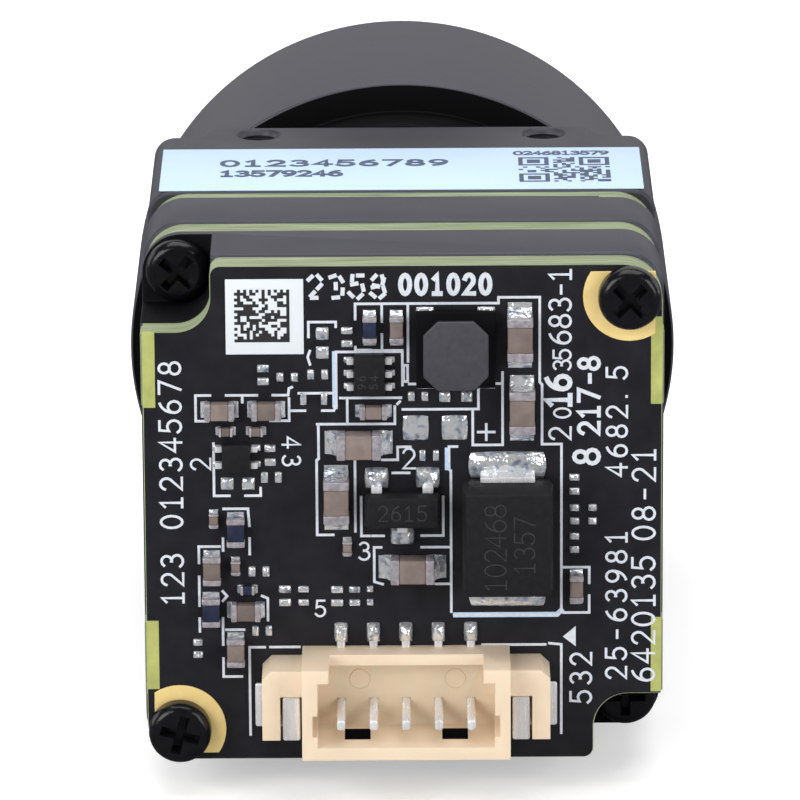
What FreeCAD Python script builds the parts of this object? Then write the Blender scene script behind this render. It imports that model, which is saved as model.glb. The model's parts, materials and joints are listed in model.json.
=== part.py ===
import FreeCAD, Part
import os
import re
import Sketcher as sketcher
from FreeCAD import Placement, Rotation, Vector

# Thermal camera module: a lens, a square front housing and a stack of three boards.
# X runs to the right seen from the connector side, Y along the optical axis to the front,
# Z up. The origin is on the optical axis where the wide lens barrel begins.

doc = FreeCAD.newDocument("thermal_camera_module")
sizes = doc.addObject("Spreadsheet::Sheet", "Sizes")

# Driving dimensions in millimetres and degrees
DIMENSIONS = (
    # square stack
    ("board_width", 20.0),
    ("frame_proud", 0.1),
    ("housing_proud", 0.05),
    ("housing_width", "=board_width + 2 * housing_proud"),
    ("corner_radius", 1.55),
    ("edge_break", 0.12),
    ("screw_inset", 1.27),
    ("screw_pitch", "=board_width - 2 * screw_inset"),
    # depths along the optical axis, from the connector side to the front
    ("rear_board_thick", 1.25),
    ("rear_frame_depth", 3.55),
    ("middle_board_thick", 1.25),
    ("middle_frame_depth", 3.65),
    ("sensor_board_thick", 0.85),
    ("housing_depth", 10.05),
    ("neck_length", 2.25),
    ("barrel_length", 11.05),
    # frames and their corners
    ("frame_wall", 1.05),
    ("boss_radius", 1.75),
    ("lug_thick", 0.55),
    ("notch_reach", 2.62),
    ("notch_radius", 1.35),
    ("notch_round", 0.4),
    ("relief_width", 2.2),
    ("relief_depth", 0.35),
    ("tab_length", 2.9),
    ("tab_inset", 4.15),
    ("tab_place", "=board_width / 2 - tab_inset"),
    ("tab_proud", 0.07),
    # screws
    ("shank_radius", 0.7),
    ("shank_clearance", 0.1),
    ("thread_clearance", 0.02),
    ("head_radius", 1.22),
    ("head_height", 0.8),
    ("head_round", 0.3),
    ("recess_width", 0.36),
    ("recess_length", 1.5),
    ("recess_depth", 0.45),
    ("thread_engagement", 2.8),
    ("thread_spare", 0.4),
    ("ring_radius", 1.79),
    ("ring_thick", 0.05),
    ("ring_inset", 0.28),
    # front housing
    ("flange_reach", 2.5),
    ("flange_radius", "=housing_width / 2 + flange_reach"),
    ("flange_depth", 1.6),
    ("front_wall", 2.7),
    ("shell_wall", 1.75),
    ("cavity_half", "=housing_width / 2 - shell_wall"),
    ("ledge_width", 0.7),
    ("front_cavity_depth", 3.1),
    ("mount_spacing", 11.6),
    ("mount_hole_radius", 0.8),
    ("mount_hole_depth", 2.2),
    ("mount_hole_setback", 1.15),
    ("mount_countersink", 0.12),
    ("label_inset", 0.3),
    ("label_length", "=housing_width - 2 * label_inset"),
    ("label_width", 6.3),
    ("label_thick", 0.05),
    ("label_setback", 2.0),
    # lens
    ("barrel_radius", 11.3),
    ("barrel_chamfer", 0.35),
    ("neck_step", 1.2),
    ("neck_radius", "=barrel_radius - neck_step"),
    ("thread_inset", 2.1),
    ("thread_radius", "=housing_width / 2 - thread_inset"),
    ("bore_clearance", 0.05),
    ("tail_length", 2.3),
    ("seal_section", 0.45),
    ("seal_groove_width", 0.72),
    ("barrel_wall", 2.3),
    ("front_lens_radius", "=barrel_radius - barrel_wall"),
    ("front_lens_thick", 2.3),
    ("front_lens_setback", 1.6),
    ("front_curve", 26.0),
    ("lens_seat", 0.7),
    ("ring_height", 0.9),
    ("ring_land", 0.6),
    ("ring_bore", "=front_lens_radius - ring_land"),
    ("spanner_slot_length", 1.4),
    ("spanner_slot_width", 1.0),
    ("tail_wall", 1.55),
    ("rear_lens_radius", "=thread_radius - tail_wall"),
    ("rear_lens_thick", 1.5),
    ("rear_curve", 18.0),
    ("spacer_wall", 0.6),
    # detector
    ("package_room", 2.3),
    ("package_width", "=2 * (cavity_half - package_room)"),
    ("package_height", 1.6),
    ("package_wall", 1.2),
    ("window_lap", 0.5),
    ("window_width", "=package_width - 2 * window_lap"),
    ("window_height", 0.6),
    # shutter
    ("shutter_plate_thick", 0.5),
    ("aperture_radius", 2.6),
    ("blade_radius", 3.0),
    ("blade_thick", 0.15),
    ("blade_gap", 0.25),
    ("blade_room", 1.2),
    ("blade_park", "=cavity_half - blade_radius - blade_room"),
    ("pivot_z", -2.1),
    ("hub_radius", 1.0),
    ("shaft_radius", 0.4),
    ("shaft_reach", 1.6),
    ("collar_height", 0.3),
    ("motor_radius", 1.95),
    ("motor_length", 2.4),
    ("motor_gap", 0.15),
    ("pivot_x", "=cavity_half - motor_radius - motor_gap"),
    # connector on the rear board
    ("connector_x", 0.08),
    ("shell_width", 8.05),
    ("shell_tall", 3.65),
    ("connector_inset", 1.0),
    ("connector_top", "=shell_tall + connector_inset - board_width / 2"),
    ("shell_height", 3.1),
    ("shell_side_wall", 0.6),
    ("shell_bottom_wall", 0.5),
    ("shell_top_wall", 0.45),
    ("corner_block_width", 1.04),
    ("corner_block_tall", 0.53),
    ("low_wall_height", 1.15),
    ("shell_floor", 0.3),
    ("key_depth", 0.2),
    ("key_tall", 0.86),
    ("key_drop", 1.85),
    ("window_wide", 1.0),
    ("window_start", 0.75),
    ("window_end", 2.05),
    ("ear_width", 1.55),
    ("ear_height", 2.05),
    ("ear_drop", 0.37),
    ("ear_tall", 2.82),
    ("ear_chamfer", 0.35),
    ("ear_slot_width", 0.85),
    ("ear_slot_drop", 1.05),
    ("pin_spacing", 1.26),
    ("pin_width", 0.32),
    ("pin_tall", 0.4),
    ("pin_height", 3.02),
    ("pin_drop", 2.06),
    ("tail_thick", 0.18),
    ("tail_reach", 0.55),
    ("nail_width", 0.68),
    ("nail_tall", 1.78),
    ("nail_thick", 0.3),
    ("nail_foot", 0.3),
    # board to board connectors
    ("stack_length", 8.4),
    ("stack_width", 2.3),
    ("stack_wall", 0.45),
    ("stack_base", 0.6),
    ("stack_offset", 5.2),
    # chips on the hidden boards
    ("processor_width", 9.0),
    ("processor_z", 1.6),
    ("processor_height", 1.0),
    ("memory_z", -2.0),
    ("memory_length", 6.0),
    ("memory_width", 4.0),
    ("memory_height", 0.8),
    # small parts on the rear board
    ("pad_thick", 0.06),
    ("part_ends_proud", 0.02),
    ("large_length", 1.7),
    ("large_width", 0.95),
    ("large_height", 0.82),
    ("large_margin", 0.46),
    ("medium_length", 1.14),
    ("medium_width", 0.66),
    ("medium_height", 0.5),
    ("medium_margin", 0.16),
    ("small_length", 1.05),
    ("small_width", 0.5),
    ("small_height", 0.42),
    ("small_margin", 0.18),
    ("tiny_length", 0.54),
    ("tiny_width", 0.34),
    ("tiny_height", 0.28),
    ("tiny_margin", 0.12),
    ("end_share", 0.2),
    ("lead_thick", 0.15),
    ("mould_draft", 7),
    ("diode_x", 4.03),
    ("diode_z", -0.62),
    ("diode_length", 4.4),
    ("diode_width", 3.5),
    ("diode_height", 2.15),
    ("diode_lead_width", 2.1),
    ("diode_lead_reach", 0.45),
    ("transistor_x", -0.03),
    ("transistor_z", 0.34),
    ("transistor_length", 2.9),
    ("transistor_width", 1.3),
    ("transistor_height", 1.0),
    ("transistor_spacing", 1.98),
    ("transistor_lead_width", 0.42),
    ("transistor_lead_reach", 0.55),
    ("regulator_x", -1.27),
    ("regulator_z", 5.72),
    ("regulator_length", 1.6),
    ("regulator_width", 1.2),
    ("regulator_height", 0.58),
    ("regulator_spacing", 0.52),
    ("switch_x", -6.42),
    ("switch_z", 2.4),
    ("switch_length", 1.15),
    ("switch_width", 1.1),
    ("switch_height", 0.5),
    ("switch_spacing", 0.66),
    ("flat_lead_width", 0.24),
    ("flat_lead_reach", 0.27),
    ("inductor_x", 2.05),
    ("inductor_z", 6.7),
    ("inductor_width", 3.05),
    ("inductor_height", 1.2),
    ("inductor_flange", 0.35),
    ("inductor_core_radius", 0.95),
    ("winding_thick", 0.25),
    ("inductor_top_width", 2.5),
    ("inductor_top_length", 2.75),
    ("inductor_corner", 0.55),
    ("inductor_pad_length", 0.7),
    ("inductor_pad_width", 0.35),
    ("bare_pad_width", 1.0),
    ("bare_pad_z", 3.5),
    ("bare_pad_x", 1.25),
    ("bare_pad_spacing", 1.5),
    ("diode_pad_length", 1.1),
    ("diode_pad_margin", 0.45),
    ("transistor_pad_length", 0.85),
    ("transistor_pad_margin", 0.25),
    ("pin_pad_length", 0.8),
    ("pin_pad_margin", 0.1),
    ("sticker_inset", 3.22),
    ("sticker_drop", 0.52),
    ("sticker_width", 3.0),
    ("sticker_left", "=sticker_inset - board_width / 2"),
    ("sticker_low", "=board_width / 2 - sticker_drop - sticker_width"),
    ("sticker_thick", 0.06),
)
for row, (alias, value) in enumerate(DIMENSIONS, start=1):
    sizes.set("A%d" % row, alias)
    sizes.setAlias("B%d" % row, alias)
for row, (alias, value) in enumerate(DIMENSIONS, start=1):
    sizes.set("B%d" % row, str(value))
doc.recompute()
ALIASES = {alias for alias, value in DIMENSIONS}


def tie(text):
    """An expression on the sheet, from a formula in plain size names."""
    def full_name(match):
        word = match.group()
        return "Sizes." + word if word in ALIASES else word

    return re.sub(r"[a-z][a-z_0-9]*", full_name, str(text))


def amount(text):
    """The present value of a formula in size names."""
    return float(sizes.evalExpression(tie(text)))


# Stations along the optical axis, worked back from the lens shoulder
CUT_PAST = "1"
HOUSING_FRONT = "(-neck_length)"
HOUSING_REAR = "(-neck_length - housing_depth)"
SENSOR_REAR = "(%s - sensor_board_thick)" % HOUSING_REAR
MIDDLE_FRAME_REAR = "(%s - middle_frame_depth)" % SENSOR_REAR
MIDDLE_REAR = "(%s - middle_board_thick)" % MIDDLE_FRAME_REAR
REAR_FRAME_REAR = "(%s - rear_frame_depth)" % MIDDLE_REAR
BOARD_REAR = "(%s - rear_board_thick)" % REAR_FRAME_REAR
LUG_REAR = "(%s - lug_thick)" % MIDDLE_REAR
FRAME_WIDTH = "(board_width + 2 * frame_proud)"
CLEAR_RADIUS = "(shank_radius + shank_clearance)"
TAP_RADIUS = "(shank_radius + thread_clearance)"
HALF_PITCH = "(screw_pitch / 2)"

# Corners as signs of X and Z: the long screws and the short ones
LONG_CORNERS = ((1, 1), (-1, -1))
SHORT_CORNERS = ((-1, 1), (1, -1))
ALL_CORNERS = LONG_CORNERS + SHORT_CORNERS

hand_in = []


def keep(piece, label):
    """Names a finished sub-part and lists it for the hand-in."""
    piece.Label = label
    hand_in.append(piece)
    return piece


def at(piece, x="0", y="0", z="0"):
    """Ties a piece's place to three formulas."""
    for axis, text in zip("xyz", (x, y, z)):
        piece.setExpression(".Placement.Base." + axis, tie(text))
    return piece


def block(name, left, right, rear, front, low, high):
    """A box between six formulas."""
    box = doc.addObject("Part::Box", name)
    box.setExpression("Length", tie("(%s) - (%s)" % (right, left)))
    box.setExpression("Width", tie("(%s) - (%s)" % (front, rear)))
    box.setExpression("Height", tie("(%s) - (%s)" % (high, low)))
    return at(box, left, rear, low)


def rod(name, radius, rear, front, x="0", z="0"):
    """A cylinder along the optical axis between two stations."""
    piece = doc.addObject("Part::Cylinder", name)
    piece.setExpression("Radius", tie(radius))
    piece.setExpression("Height", tie("(%s) - (%s)" % (front, rear)))
    piece.Placement = Placement(Vector(0, 0, 0), Rotation(Vector(1, 0, 0), -90))
    return at(piece, x, rear, z)


def fuse(name, pieces):
    union = doc.addObject("Part::MultiFuse", name)
    union.Shapes = pieces
    union.Refine = True
    return union


def cut(name, base, tools):
    result = doc.addObject("Part::Cut", name)
    result.Base = base
    result.Tool = tools[0] if len(tools) == 1 else fuse(name + "_tools", tools)
    result.Refine = True
    return result


def common(name, first, second):
    result = doc.addObject("Part::Common", name)
    result.Base = first
    result.Tool = second
    return result


def group(name, pieces):
    bunch = doc.addObject("Part::Compound", name)
    bunch.Links = pieces
    return bunch


def edges_where(shape, test):
    """The numbers of the edges whose middle point and direction pass a test."""
    chosen = []
    for number, edge in enumerate(shape.Edges, start=1):
        middle = edge.valueAt((edge.FirstParameter + edge.LastParameter) / 2)
        if test(edge, middle):
            chosen.append(number)
    return chosen


def rounded(name, base, radius, test, kind="Part::Fillet"):
    """Rounds or chamfers the edges of a shape that pass a test."""
    doc.recompute()
    result = doc.addObject(kind, name)
    result.Base = base
    result.Edges = [(number, amount(radius), amount(radius)) for number in edges_where(base.Shape, test)]
    return result


def runs_along_axis(edge, middle):
    ends = [vertex.Point for vertex in edge.Vertexes]
    if len(ends) != 2:
        return False
    span = ends[1] - ends[0]
    return abs(span.x) < 1e-6 and abs(span.z) < 1e-6 and abs(span.y) > 1e-6


def plate(name, width, rear, front):
    """A square block round the optical axis with rounded corners."""
    half = "(%s) / 2" % width
    raw = block(name + "_raw", "-" + half, half, rear, front, "-" + half, half)
    return rounded(name + "_corners", raw, "corner_radius", runs_along_axis)


def square(name, width, rear, front):
    """A plate whose end edges are broken as well."""
    round_corners = plate(name, width, rear, front)
    ends = (amount(rear), amount(front))
    return rounded(name + "_edges", round_corners, "edge_break",
                   lambda edge, middle: min(abs(middle.y - end) for end in ends) < 1e-6, "Part::Chamfer")


def corner_rods(name, radius, rear, front, corners=ALL_CORNERS):
    """One rod at each screw corner."""
    return [rod("%s_%d" % (name, number), radius, rear, front,
                "%d * %s" % (side, HALF_PITCH), "%d * %s" % (rise, HALF_PITCH))
            for number, (side, rise) in enumerate(corners)]


def hollow(name, half, rear, front, corners, boss="boss_radius"):
    """A square cavity tool that leaves a round boss standing at the given corners."""
    room = block(name + "_room", "-(%s)" % half, half, rear, front, "-(%s)" % half, half)
    return cut(name, room, corner_rods(name + "_boss", boss, rear, front, corners))


def notch(name, side, rise, rear, front):
    """The corner bite round a short screw: square, with its inner corner round the screw."""
    half = "board_width / 2"
    low_x, high_x = "-(%s) - frame_proud - %s" % (half, CUT_PAST), "-(%s) + notch_reach" % half
    low_z, high_z = "(%s) - notch_reach" % half, "(%s) + frame_proud + %s" % (half, CUT_PAST)
    raw = block(name + "_raw", low_x, high_x, rear, front, low_z, high_z)
    inner_x, inner_z = amount(high_x), amount(low_z)
    bite = rounded(name + "_bite", raw, "notch_radius",
                   lambda edge, middle: runs_along_axis(edge, middle)
                   and abs(middle.x - inner_x) < 1e-6 and abs(middle.z - inner_z) < 1e-6)
    if side < 0:
        return bite
    turned = doc.addObject("Part::Compound", name)
    turned.Links = [bite]
    turned.Placement = Placement(Vector(0, 0, 0), Rotation(Vector(0, 1, 0), 180))
    return turned


# Sketch-based bodies

def new_body(name):
    return doc.addObject("PartDesign::Body", name)


def new_sketch(body, plane_role, name, lift=None):
    """A sketch on one of the body's own origin planes, lifted along its normal."""
    sketch = body.newObject("Sketcher::SketchObject", name)
    plane = next(plane for plane in body.Origin.OriginFeatures if plane.Role == plane_role)
    sketch.AttachmentSupport = [(plane, "")]
    sketch.MapMode = "FlatFace"
    if lift is not None:
        sketch.setExpression(".AttachmentOffset.Base.z", tie(lift))
    return sketch


def hold(sketch, geometry, end, across, up):
    """Dimensions one point of a sketch from its origin by two formulas."""
    for kind, text, axis in (("DistanceX", across, -2), ("DistanceY", up, -1)):
        value = amount(text)
        if abs(value) < 1e-9:
            sketch.addConstraint(sketcher.Constraint("PointOnObject", geometry, end, axis))
        else:
            number = sketch.addConstraint(sketcher.Constraint(kind, -1, 1, geometry, end, value))
            sketch.setExpression("Constraints[%d]" % number, tie(text))


def draw_outline(sketch, points):
    """A closed outline of straight lines through points given as formula pairs."""
    places = [Vector(amount(across), amount(up), 0) for across, up in points]
    first = sketch.GeometryCount
    count = len(points)
    for number in range(count):
        sketch.addGeometry(Part.LineSegment(places[number], places[(number + 1) % count]), False)
    for number in range(count):
        following = first + (number + 1) % count
        sketch.addConstraint(sketcher.Constraint("Coincident", first + number, 2, following, 1))
    for number, (across, up) in enumerate(points):
        hold(sketch, first + number, 1, across, up)


def draw_box(sketch, left, right, low, high):
    """A rectangle between four formulas."""
    draw_outline(sketch, ((left, low), (right, low), (right, high), (left, high)))


def draw_circle(sketch, across, up, radius):
    circle = sketch.addGeometry(Part.Circle(Vector(amount(across), amount(up), 0), Vector(0, 0, 1),
                                            amount(radius)), False)
    number = sketch.addConstraint(sketcher.Constraint("Radius", circle, amount(radius)))
    sketch.setExpression("Constraints[%d]" % number, tie(radius))
    hold(sketch, circle, 3, across, up)


def grow(body, sketch, length, kind="PartDesign::Pad", forward=True):
    """A pad or pocket; forward pads run towards the lens."""
    feature = body.newObject(kind, sketch.Name + "_" + kind.split("::")[1].lower())
    feature.Profile = sketch
    feature.setExpression("Length", tie(length))
    feature.Reversed = forward if kind.endswith("Pad") else not forward
    sketch.Visibility = False
    return feature


def turn(body, sketch, kind="PartDesign::Revolution"):
    """A full turn about the sketch's horizontal axis."""
    feature = body.newObject(kind, sketch.Name + "_" + kind.split("::")[1].lower())
    feature.Profile = sketch
    feature.ReferenceAxis = (sketch, ["H_Axis"])
    feature.Angle = 360
    return feature


def turned_piece(name, points):
    """A body turned about the optical axis from (station, radius) pairs."""
    body = new_body(name)
    sketch = new_sketch(body, "YZ_Plane", name + "_profile")
    draw_outline(sketch, points)
    turn(body, sketch)
    return body


def soften(body, name, radius, test, kind="PartDesign::Fillet"):
    """Rounds or chamfers the edges of a body's tip that pass a test."""
    doc.recompute()
    base = body.Tip
    numbers = edges_where(base.Shape, test)
    feature = body.newObject(kind, name)
    feature.Base = (base, ["Edge%d" % number for number in numbers])
    feature.setExpression("Radius" if kind.endswith("Fillet") else "Size", tie(radius))
    return feature


# Lens: one turned barrel, two elements, a spacer, a retaining ring and a seal

def make_lens():
    barrel_end = "barrel_length"
    bore = "front_lens_radius + bore_clearance"
    lens_back = "(barrel_length - front_lens_setback - front_lens_thick)"
    tail_start = "(-neck_length - tail_length)"
    rear_seat = "(%s + lens_seat)" % tail_start
    rear_bore = "(rear_lens_radius + bore_clearance)"
    spacer_back = "(%s + rear_lens_thick)" % rear_seat
    barrel = turned_piece("lens_barrel_body", (
        (tail_start, "rear_lens_radius - lens_seat"),
        (tail_start, "thread_radius"),
        (HOUSING_FRONT, "thread_radius"),
        (HOUSING_FRONT, "neck_radius"),
        ("0", "neck_radius"),
        ("0", "barrel_radius - barrel_chamfer"),
        ("barrel_chamfer", "barrel_radius"),
        (barrel_end + " - barrel_chamfer", "barrel_radius"),
        (barrel_end, "barrel_radius - barrel_chamfer"),
        (barrel_end, bore),
        (lens_back, bore),
        (lens_back, rear_bore),
        (rear_seat, rear_bore),
        (rear_seat, "rear_lens_radius - lens_seat"),
    ))
    keep(barrel, "lens_barrel")

    spacer = turned_piece("lens_spacer_body", (
        (spacer_back, "rear_lens_radius - spacer_wall"),
        (spacer_back, "rear_lens_radius"),
        (lens_back, "rear_lens_radius"),
        (lens_back, "rear_lens_radius - spacer_wall"),
    ))
    keep(spacer, "lens_spacer")

    # The elements are round discs with a ball-shaped outer face
    def element(name, radius, rear, thick, curve, bulge_forward):
        front = "(%s + %s)" % (rear, thick)
        disc = rod(name + "_disc", radius, rear, front)
        ball = doc.addObject("Part::Sphere", name + "_ball")
        ball.setExpression("Radius", tie(curve))
        centre = "%s - %s" % (front, curve) if bulge_forward else "%s + %s" % (rear, curve)
        at(ball, y=centre)
        return keep(common(name + "_form", disc, ball), name)

    element("front_lens", "front_lens_radius", lens_back, "front_lens_thick", "front_curve", True)
    element("rear_lens", "rear_lens_radius", rear_seat, "rear_lens_thick", "rear_curve", False)

    sag = "(front_curve - sqrt(front_curve * front_curve - ring_bore * ring_bore))"
    rim = "(%s + front_lens_thick - %s)" % (lens_back, sag)
    ring = turned_piece("retaining_ring_body", (
        (rim, "ring_bore"),
        (rim, "front_lens_radius"),
        (rim + " + ring_height", "front_lens_radius"),
        (rim + " + ring_height", "ring_bore"),
    ))
    slot = new_sketch(ring, "XZ_Plane", "spanner_slots", "-(%s + ring_height)" % rim)
    for side in (-1, 1):
        middle = "%d * front_lens_radius" % side
        draw_box(slot, middle + " - spanner_slot_length / 2", middle + " + spanner_slot_length / 2",
                 "-spanner_slot_width / 2", "spanner_slot_width / 2")
    grow(ring, slot, "ring_height / 2", "PartDesign::Pocket", False)
    keep(ring, "retaining_ring")

    # a flat ring of square section fills the depth of the housing's groove
    inner = "(thread_radius + bore_clearance)"
    seal = turned_piece("lens_seal_body", (
        ("%s - seal_section" % HOUSING_FRONT, inner),
        ("%s - seal_section" % HOUSING_FRONT, inner + " + seal_section"),
        (HOUSING_FRONT, inner + " + seal_section"),
        (HOUSING_FRONT, inner),
    ))
    keep(seal, "lens_seal")


# Front housing: a square shell whose front corners step back behind a round flange

def make_housing():
    width = "housing_width"
    step = "(%s - flange_depth)" % HOUSING_FRONT
    full = square("housing_block", width, HOUSING_REAR, HOUSING_FRONT)
    disc = rod("housing_flange", "flange_radius", step, HOUSING_FRONT)
    rear_part = block("housing_square", "-housing_width", "housing_width", HOUSING_REAR, step,
                      "-housing_width", "housing_width")
    outer = common("housing_outer", full, fuse("housing_limits", [disc, rear_part]))

    cavity_front = "(%s - front_wall)" % HOUSING_FRONT
    ledge = "(%s - front_cavity_depth)" % cavity_front
    rear_room = hollow("rear_room", "cavity_half", HOUSING_REAR, ledge, ALL_CORNERS)
    narrow = "(cavity_half - ledge_width)"
    front_room_raw = block("front_room_raw", "-" + narrow, "cavity_half", ledge, cavity_front,
                           "-" + narrow, narrow)
    front_room = cut("front_room", front_room_raw,
                     corner_rods("front_boss", "boss_radius", ledge, cavity_front))
    lens_hole = rod("lens_hole", "thread_radius + bore_clearance", cavity_front, HOUSING_FRONT)
    groove_outer = rod("seal_groove_outer", "thread_radius + seal_groove_width",
                       "%s - seal_section" % HOUSING_FRONT, HOUSING_FRONT)
    taps = corner_rods("housing_tap", TAP_RADIUS, HOUSING_REAR,
                       "%s + thread_engagement + thread_spare" % HOUSING_REAR)
    mounts = []
    for rise in (-1, 1):
        for side in (-1, 1):
            name = "mount_%d_%d" % (side + 1, rise + 1)
            hole = doc.addObject("Part::Cylinder", name)
            hole.setExpression("Radius", tie("mount_hole_radius"))
            hole.setExpression("Height", tie("mount_hole_depth"))
            sink = doc.addObject("Part::Cone", name + "_sink")
            sink.setExpression("Radius1", tie("mount_hole_radius"))
            sink.setExpression("Radius2", tie("mount_hole_radius + mount_countersink"))
            sink.setExpression("Height", tie("mount_countersink"))
            for tool, depth in ((hole, "mount_hole_depth"), (sink, "mount_countersink")):
                tool.Placement = Placement(Vector(0, 0, 0), Rotation(Vector(1, 0, 0), 0 if rise > 0 else 180))
                at(tool, "%d * mount_spacing / 2" % side, "%s - mount_hole_setback" % HOUSING_FRONT,
                   "%d * (housing_width / 2 - %s)" % (rise, depth))
            mounts += [hole, sink]
    shell = cut("housing_shell", outer, [rear_room, front_room, lens_hole, groove_outer] + taps + mounts)
    keep(shell, "front_housing")

    label_front = "(%s - flange_depth - label_setback)" % HOUSING_FRONT
    label = block("label_form", "-label_length / 2", "label_length / 2", "%s - label_width" % label_front,
                  label_front, "housing_width / 2", "housing_width / 2 + label_thick")
    keep(label, "top_label")
    return ledge


# Boards and the frames between them

def make_boards():
    half = "board_width / 2"
    # rear board with two corner bites and the stubs of its panel tabs
    board = plate("rear_plate", "board_width", BOARD_REAR, REAR_FRAME_REAR)
    stubs = []
    for side in (-1, 1):
        for rise in (-1, 1):
            edge, middle = "%d * %s" % (side, half), "%d * tab_place" % rise
            stubs.append(block("stub_%d_%d" % (side + 1, rise + 1),
                               edge + " - tab_proud", edge + " + tab_proud",
                               "%s + edge_break" % BOARD_REAR, "%s - edge_break" % REAR_FRAME_REAR,
                               middle + " - tab_length / 2", middle + " + tab_length / 2"))
    bites = [notch("board_notch_%d" % (side + 1), side, rise, BOARD_REAR, REAR_FRAME_REAR)
             for side, rise in SHORT_CORNERS]
    holes = corner_rods("rear_board_hole", CLEAR_RADIUS, BOARD_REAR, REAR_FRAME_REAR, LONG_CORNERS)
    bitten = cut("rear_board_bitten", fuse("rear_board_plate", [board] + stubs), bites + holes)
    rim, reach = amount(half), amount(half + " - notch_reach")
    keep(rounded("rear_board_form", bitten, "notch_round",
                 lambda edge, middle: runs_along_axis(edge, middle)
                 and abs(abs(middle.z) - rim) < 1e-6 and abs(abs(middle.x) - reach) < 1e-6), "rear_board")

    # plated rings under the two long screws, cut off short of the board's edges
    ring_rear = "(%s - ring_thick)" % BOARD_REAR
    rings = corner_rods("ring_disc", "ring_radius", ring_rear, BOARD_REAR, LONG_CORNERS)
    ring_holes = corner_rods("ring_hole", CLEAR_RADIUS, ring_rear, BOARD_REAR, LONG_CORNERS)
    inset = "(%s - ring_inset)" % half
    field = block("ring_field", "-" + inset, inset, ring_rear, BOARD_REAR, "-" + inset, inset)
    whole = [common("ring_%d" % number, field, cut("ring_cut_%d" % number, disc, [hole]))
             for number, (disc, hole) in enumerate(zip(rings, ring_holes))]
    keep(group("ground_rings_form", whole), "ground_rings")

    # rear frame: bosses for the long screws, thin lugs behind the middle board for the short ones
    wall_half = "(board_width / 2 + frame_proud - frame_wall)"
    frame = square("rear_frame_block", FRAME_WIDTH, REAR_FRAME_REAR, MIDDLE_REAR)
    room = hollow("rear_frame_room", wall_half, REAR_FRAME_REAR, MIDDLE_REAR, ALL_CORNERS)
    bites = [notch("frame_notch_%d" % (side + 1), side, rise, REAR_FRAME_REAR, LUG_REAR)
             for side, rise in SHORT_CORNERS]
    lug_reach = "(board_width / 2 - notch_reach - frame_wall)"
    screens = []
    for side, rise in SHORT_CORNERS:
        left, right = sorted(("%d * %s" % (side, lug_reach), "%d * %s" % (side, wall_half)), key=amount)
        low, high = sorted(("%d * %s" % (rise, lug_reach), "%d * %s" % (rise, wall_half)), key=amount)
        screens.append(block("screen_%d" % (side + 1), left, right, REAR_FRAME_REAR, MIDDLE_REAR, low, high))
    room_cut = cut("rear_frame_open", room, screens)
    holes = corner_rods("rear_frame_hole", CLEAR_RADIUS, REAR_FRAME_REAR, MIDDLE_REAR)
    keep(cut("rear_frame_form", frame, [room_cut] + bites + holes), "rear_frame")

    # middle board, middle frame and sensor board
    def plain_board(name, rear, front):
        board = plate(name + "_plate", "board_width", rear, front)
        keep(cut(name + "_form", board, corner_rods(name + "_hole", CLEAR_RADIUS, rear, front)), name)

    plain_board("middle_board", MIDDLE_REAR, MIDDLE_FRAME_REAR)
    frame = square("middle_frame_block", FRAME_WIDTH, MIDDLE_FRAME_REAR, SENSOR_REAR)
    room = hollow("middle_frame_room", wall_half, MIDDLE_FRAME_REAR, SENSOR_REAR, ALL_CORNERS)
    outside = "%s + frame_proud + %s" % (half, CUT_PAST)
    relief = block("frame_relief", "%s - relief_width" % half, outside,
                   "%s - relief_depth" % SENSOR_REAR, SENSOR_REAR,
                   "%s + frame_proud - frame_wall / 2" % half, outside)
    holes = corner_rods("middle_frame_hole", CLEAR_RADIUS, MIDDLE_FRAME_REAR, SENSOR_REAR)
    keep(cut("middle_frame_form", frame, [room, relief] + holes), "middle_frame")
    plain_board("sensor_board", SENSOR_REAR, HOUSING_REAR)


# Pan-head screws with a cross recess

def screw_source(name, length):
    """One screw at the origin, its head behind the seat and its shank running forwards."""
    body = turned_piece(name, (
        ("-head_height", "0"),
        ("-head_height", "head_radius"),
        ("0", "head_radius"),
        ("0", "shank_radius"),
        ("%s" % length, "shank_radius"),
        ("%s" % length, "0"),
    ))
    cross = new_sketch(body, "XZ_Plane", name + "_cross", "head_height")
    wide, long = "recess_width / 2", "recess_length / 2"
    draw_outline(cross, (
        ("-" + long, "-" + wide), ("-" + wide, "-" + wide), ("-" + wide, "-" + long), (wide, "-" + long),
        (wide, "-" + wide), (long, "-" + wide), (long, wide), (wide, wide), (wide, long), ("-" + wide, long),
        ("-" + wide, wide), ("-" + long, wide)))
    grow(body, cross, "recess_depth", "PartDesign::Pocket", True)
    head_radius, half_head = amount("head_radius"), amount("head_height / 2")
    soften(body, name + "_pan", "head_round",
           lambda edge, middle: edge.Curve.TypeId == "Part::GeomCircle"
           and abs(edge.Curve.Radius - head_radius) < 1e-6 and middle.y < -half_head)
    return body


def screw_set(name, length, seat, corners, turns):
    source = screw_source(name + "_source", length)
    placed = []
    for number, ((side, rise), angle) in enumerate(zip(corners, turns)):
        link = doc.addObject("App::Link", "%s_%d" % (name, number))
        link.LinkedObject = source
        link.Placement = Placement(Vector(0, 0, 0), Rotation(Vector(0, 1, 0), angle))
        at(link, "%d * %s" % (side, HALF_PITCH), seat, "%d * %s" % (rise, HALF_PITCH))
        placed.append(link)
    keep(group(name + "_form", placed), name)


def make_screws():
    screw_set("long_screws", "(%s + thread_engagement - (%s - ring_thick))" % (HOUSING_REAR, BOARD_REAR),
              "%s - ring_thick" % BOARD_REAR, LONG_CORNERS, (45, 15))
    screw_set("short_screws", "(%s + thread_engagement - %s)" % (HOUSING_REAR, LUG_REAR), LUG_REAR,
              SHORT_CORNERS, (40, 0))


# Detector in its ceramic package

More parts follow.
